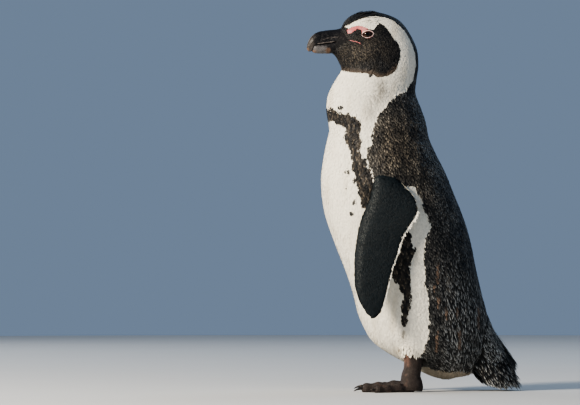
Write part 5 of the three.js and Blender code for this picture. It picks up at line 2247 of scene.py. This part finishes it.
@dataclass
class Studio:
    """Floor, lights, surroundings and camera."""

    elevation: Elevation
    lamps: tuple[Lamp, ...] = (
        Lamp("key", (1.6, -2.6, 1.5), 0.7, 228.0, (1.0, 0.905, 0.77)),
        Lamp("fill", (2.8, 1.4, 1.3), 2.2, 9.0, (0.76, 0.88, 1.0)),
        Lamp("rim", (-1.8, 2.0, 2.2), 1.4, 22.0, (0.62, 0.80, 1.0)),
        Lamp("far", (-2.4, -1.6, 1.6), 1.8, 24.0, (0.92, 0.96, 1.0)),
    )
    sky: Colour = (0.38, 0.51, 0.72)
    sky_strength: float = 0.42
    sensor_mm: float = 36.0
    radius: float = 4.0
    thickness: float = 0.02

    def build(self) -> Object:
        """Sets everything up and returns the floor."""
        for lamp in self.lamps:
            lamp.hang()
        world = bpy.data.worlds.new("surroundings")
        world.use_nodes = True
        colour, strength = list(world.node_tree.nodes["Background"].inputs)[:2]
        colour.default_value, strength.default_value = (*self.sky, 1.0), self.sky_strength
        bpy.context.scene.world = world
        bpy.context.scene.view_settings.look = "AgX - Medium High Contrast"
        self.camera()
        return self.floor()

    def floor(self) -> Object:
        """A round floor with its top at z = 0."""
        radius = np.array([0.002, self.radius, self.radius, 0.002])[:, None]
        angle = circle(96)[None]
        height = -self.thickness * np.array([0.0, 0.0, 1.0, 1.0])[:, None] + 0 * angle
        floor = Shell.tube(np.stack([radius * np.cos(angle), radius * np.sin(angle), height], -1)).place("floor")
        floor.data.polygons.foreach_set("use_smooth", np.zeros(len(floor.data.polygons), bool))
        return floor

    def camera(self) -> None:
        """The camera at the elevation's own eye."""
        right, up, forward = self.elevation.axes
        data = bpy.data.cameras.new("camera")
        data.sensor_width = self.sensor_mm
        data.lens = self.sensor_mm * self.elevation.focal_px / FRAME_PX[0]
        data.clip_end = 50.0
        camera = bpy.data.objects.new("camera", data)
        turn = Matrix((right, up, -forward)).transposed()
        camera.matrix_world = Matrix.Translation(Vector(self.elevation.eye) * MM) @ turn.to_4x4()
        bpy.context.scene.collection.objects.link(camera)
        bpy.context.scene.camera = camera


# ---- the bird
@dataclass
class Penguin:
    """The whole bird: builds each piece, dresses it and ties it to the frame."""

    body: BodyForm = field(default_factory=BodyForm)
    tail: TailForm = field(default_factory=TailForm)
    markings: Markings = field(default_factory=Markings)
    most_faces: int = 180_000

    def __post_init__(self) -> None:
        """Makes the paired forms and the plumage material."""
        self.flippers = [FlipperForm(side.sign, side.swing) for side in Side]
        self.feet = [FootForm(side) for side in Side]
        self.plumage = PlumageFinish("plumage").make()
        self.skin = Skin(self.body, self.tail, self.flippers, self.feet, self.markings)

    def dress(self, obj: Object, material: Material, slot: str, *nodes: str) -> None:
        """Gives a piece its material, ties it to the frame and logs it.

        Args:
            obj: the piece.
            material: its finish.
            slot: the frame's slot for the finish; not used.
            *nodes: nodes of the frame that the piece stands for.
        """
        obj.data.materials.clear()
        obj.data.materials.append(material)
        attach(obj, BODY)
        if nodes:
            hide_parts(*nodes)
        count = sum(len(p.vertices) - 2 for p in obj.data.polygons)
        LOG.info("%s: %d triangles", obj.name, count)

    def coat(self, name: str, feathers: Feathers, slot: str, marked: bool = False) -> None:
        """Puts feathers into as many meshes as keep each one under the limit of faces."""
        pieces = math.ceil(len(feathers) * 16 / self.most_faces)
        marks = self.markings.dark if marked else None
        for i, rows in enumerate(np.array_split(np.arange(len(feathers)), pieces)):
            label = name if pieces == 1 else f"{name}_{i + 1}"
            self.dress(Vane().cloth(label, feathers.kept(rows), marks), self.plumage, slot)

    def build_skin(self) -> None:
        """The skin, which stands for every node of flesh."""
        nodes = ["head", "neck", "trunk", "tail"]
        nodes += [f"{part}_{side.label}" for part in ("flipper", "leg", "foot") for side in Side]
        self.dress(self.skin.build(), SkinFinish().make(), "foot_skin", *nodes)

    def build_plumage(self) -> None:
        """All feathers."""
        tail_root, trunk = Inside(self.skin.tail_shell()), Inside(self.skin.body_shell())
        legs = [Inside(foot.leg().moved(foot.stood)) for foot in self.feet]
        body = BodyPlumage(self.body, self.markings, [tail_root, *legs]).lay()
        head = body.base[:, 2] > 0.455
        self.coat("feathers_head", body.kept(head), "plumage_black", True)
        self.coat("feathers_body", body.kept(~head), "plumage_white", True)
        sheets = (Sheet(0.60, 0.02, 0.18, 0.62), Sheet(0.80, 0.02, 0.18, 0.62))
        for side, form, sheet in zip(Side, self.flippers, sheets):
            self.coat(f"feathers_flipper_{side.label}", FlipperPlumage(form, trunk, sheet).lay(), "plumage_black")
        self.coat("feathers_tail", TailPlumage(self.tail, trunk, self.markings).lay(), "plumage_black")
        self.dress(TailQuills(self.tail).build(), PlumageFinish("quills", 500.0).make(), "plumage_black")
        cuff_sheets = (Sheet(0.60, 0.65, 0.18, 0.02), Sheet(0.80, 0.65, 0.18, 0.02))
        cuffs = [Cuffs(foot, sheet).lay() for foot, sheet in zip(self.feet, cuff_sheets)]
        self.coat("feathers_cuffs", Feathers.joined(cuffs), "plumage_white")

    def build_head(self) -> None:
        """Bill, eyes and eye rings."""
        horn = HornFinish("bill_horn", "bill").make()
        bill = Bill()
        self.dress(bill.upper_object(), horn, "bill", "bill_upper")
        self.dress(bill.lower_object(), horn, "bill", "bill_lower")
        ball, lids = EyeFinish().make(), LidFinish().make()
        for side in Side:
            eye = Eye(side)
            self.dress(eye.ball(), ball, "eye", f"eye_{side.label}")
            self.dress(eye.ring(), lids, "foot_skin")

    def build_claws(self) -> None:
        """The claws of both feet."""
        horn = HornFinish("claw_horn", "claw", 0.42).make()
        for foot in self.feet:
            nodes = [f"claw_{toe}_{foot.side.label}" for toe in foot.toes]
            self.dress(Claws(foot).build(), horn, "claw", *nodes)


def main() -> None:
    """Builds the studio and the bird."""
    logging.basicConfig(level=logging.INFO, format="%(message)s")
    penguin = Penguin()
    floor = Studio(penguin.markings.elevation).build()
    floor.data.materials.append(FloorFinish().make())
    penguin.build_skin()
    penguin.build_head()
    penguin.build_claws()
    penguin.build_plumage()


if __name__ == "__main__":
    main()
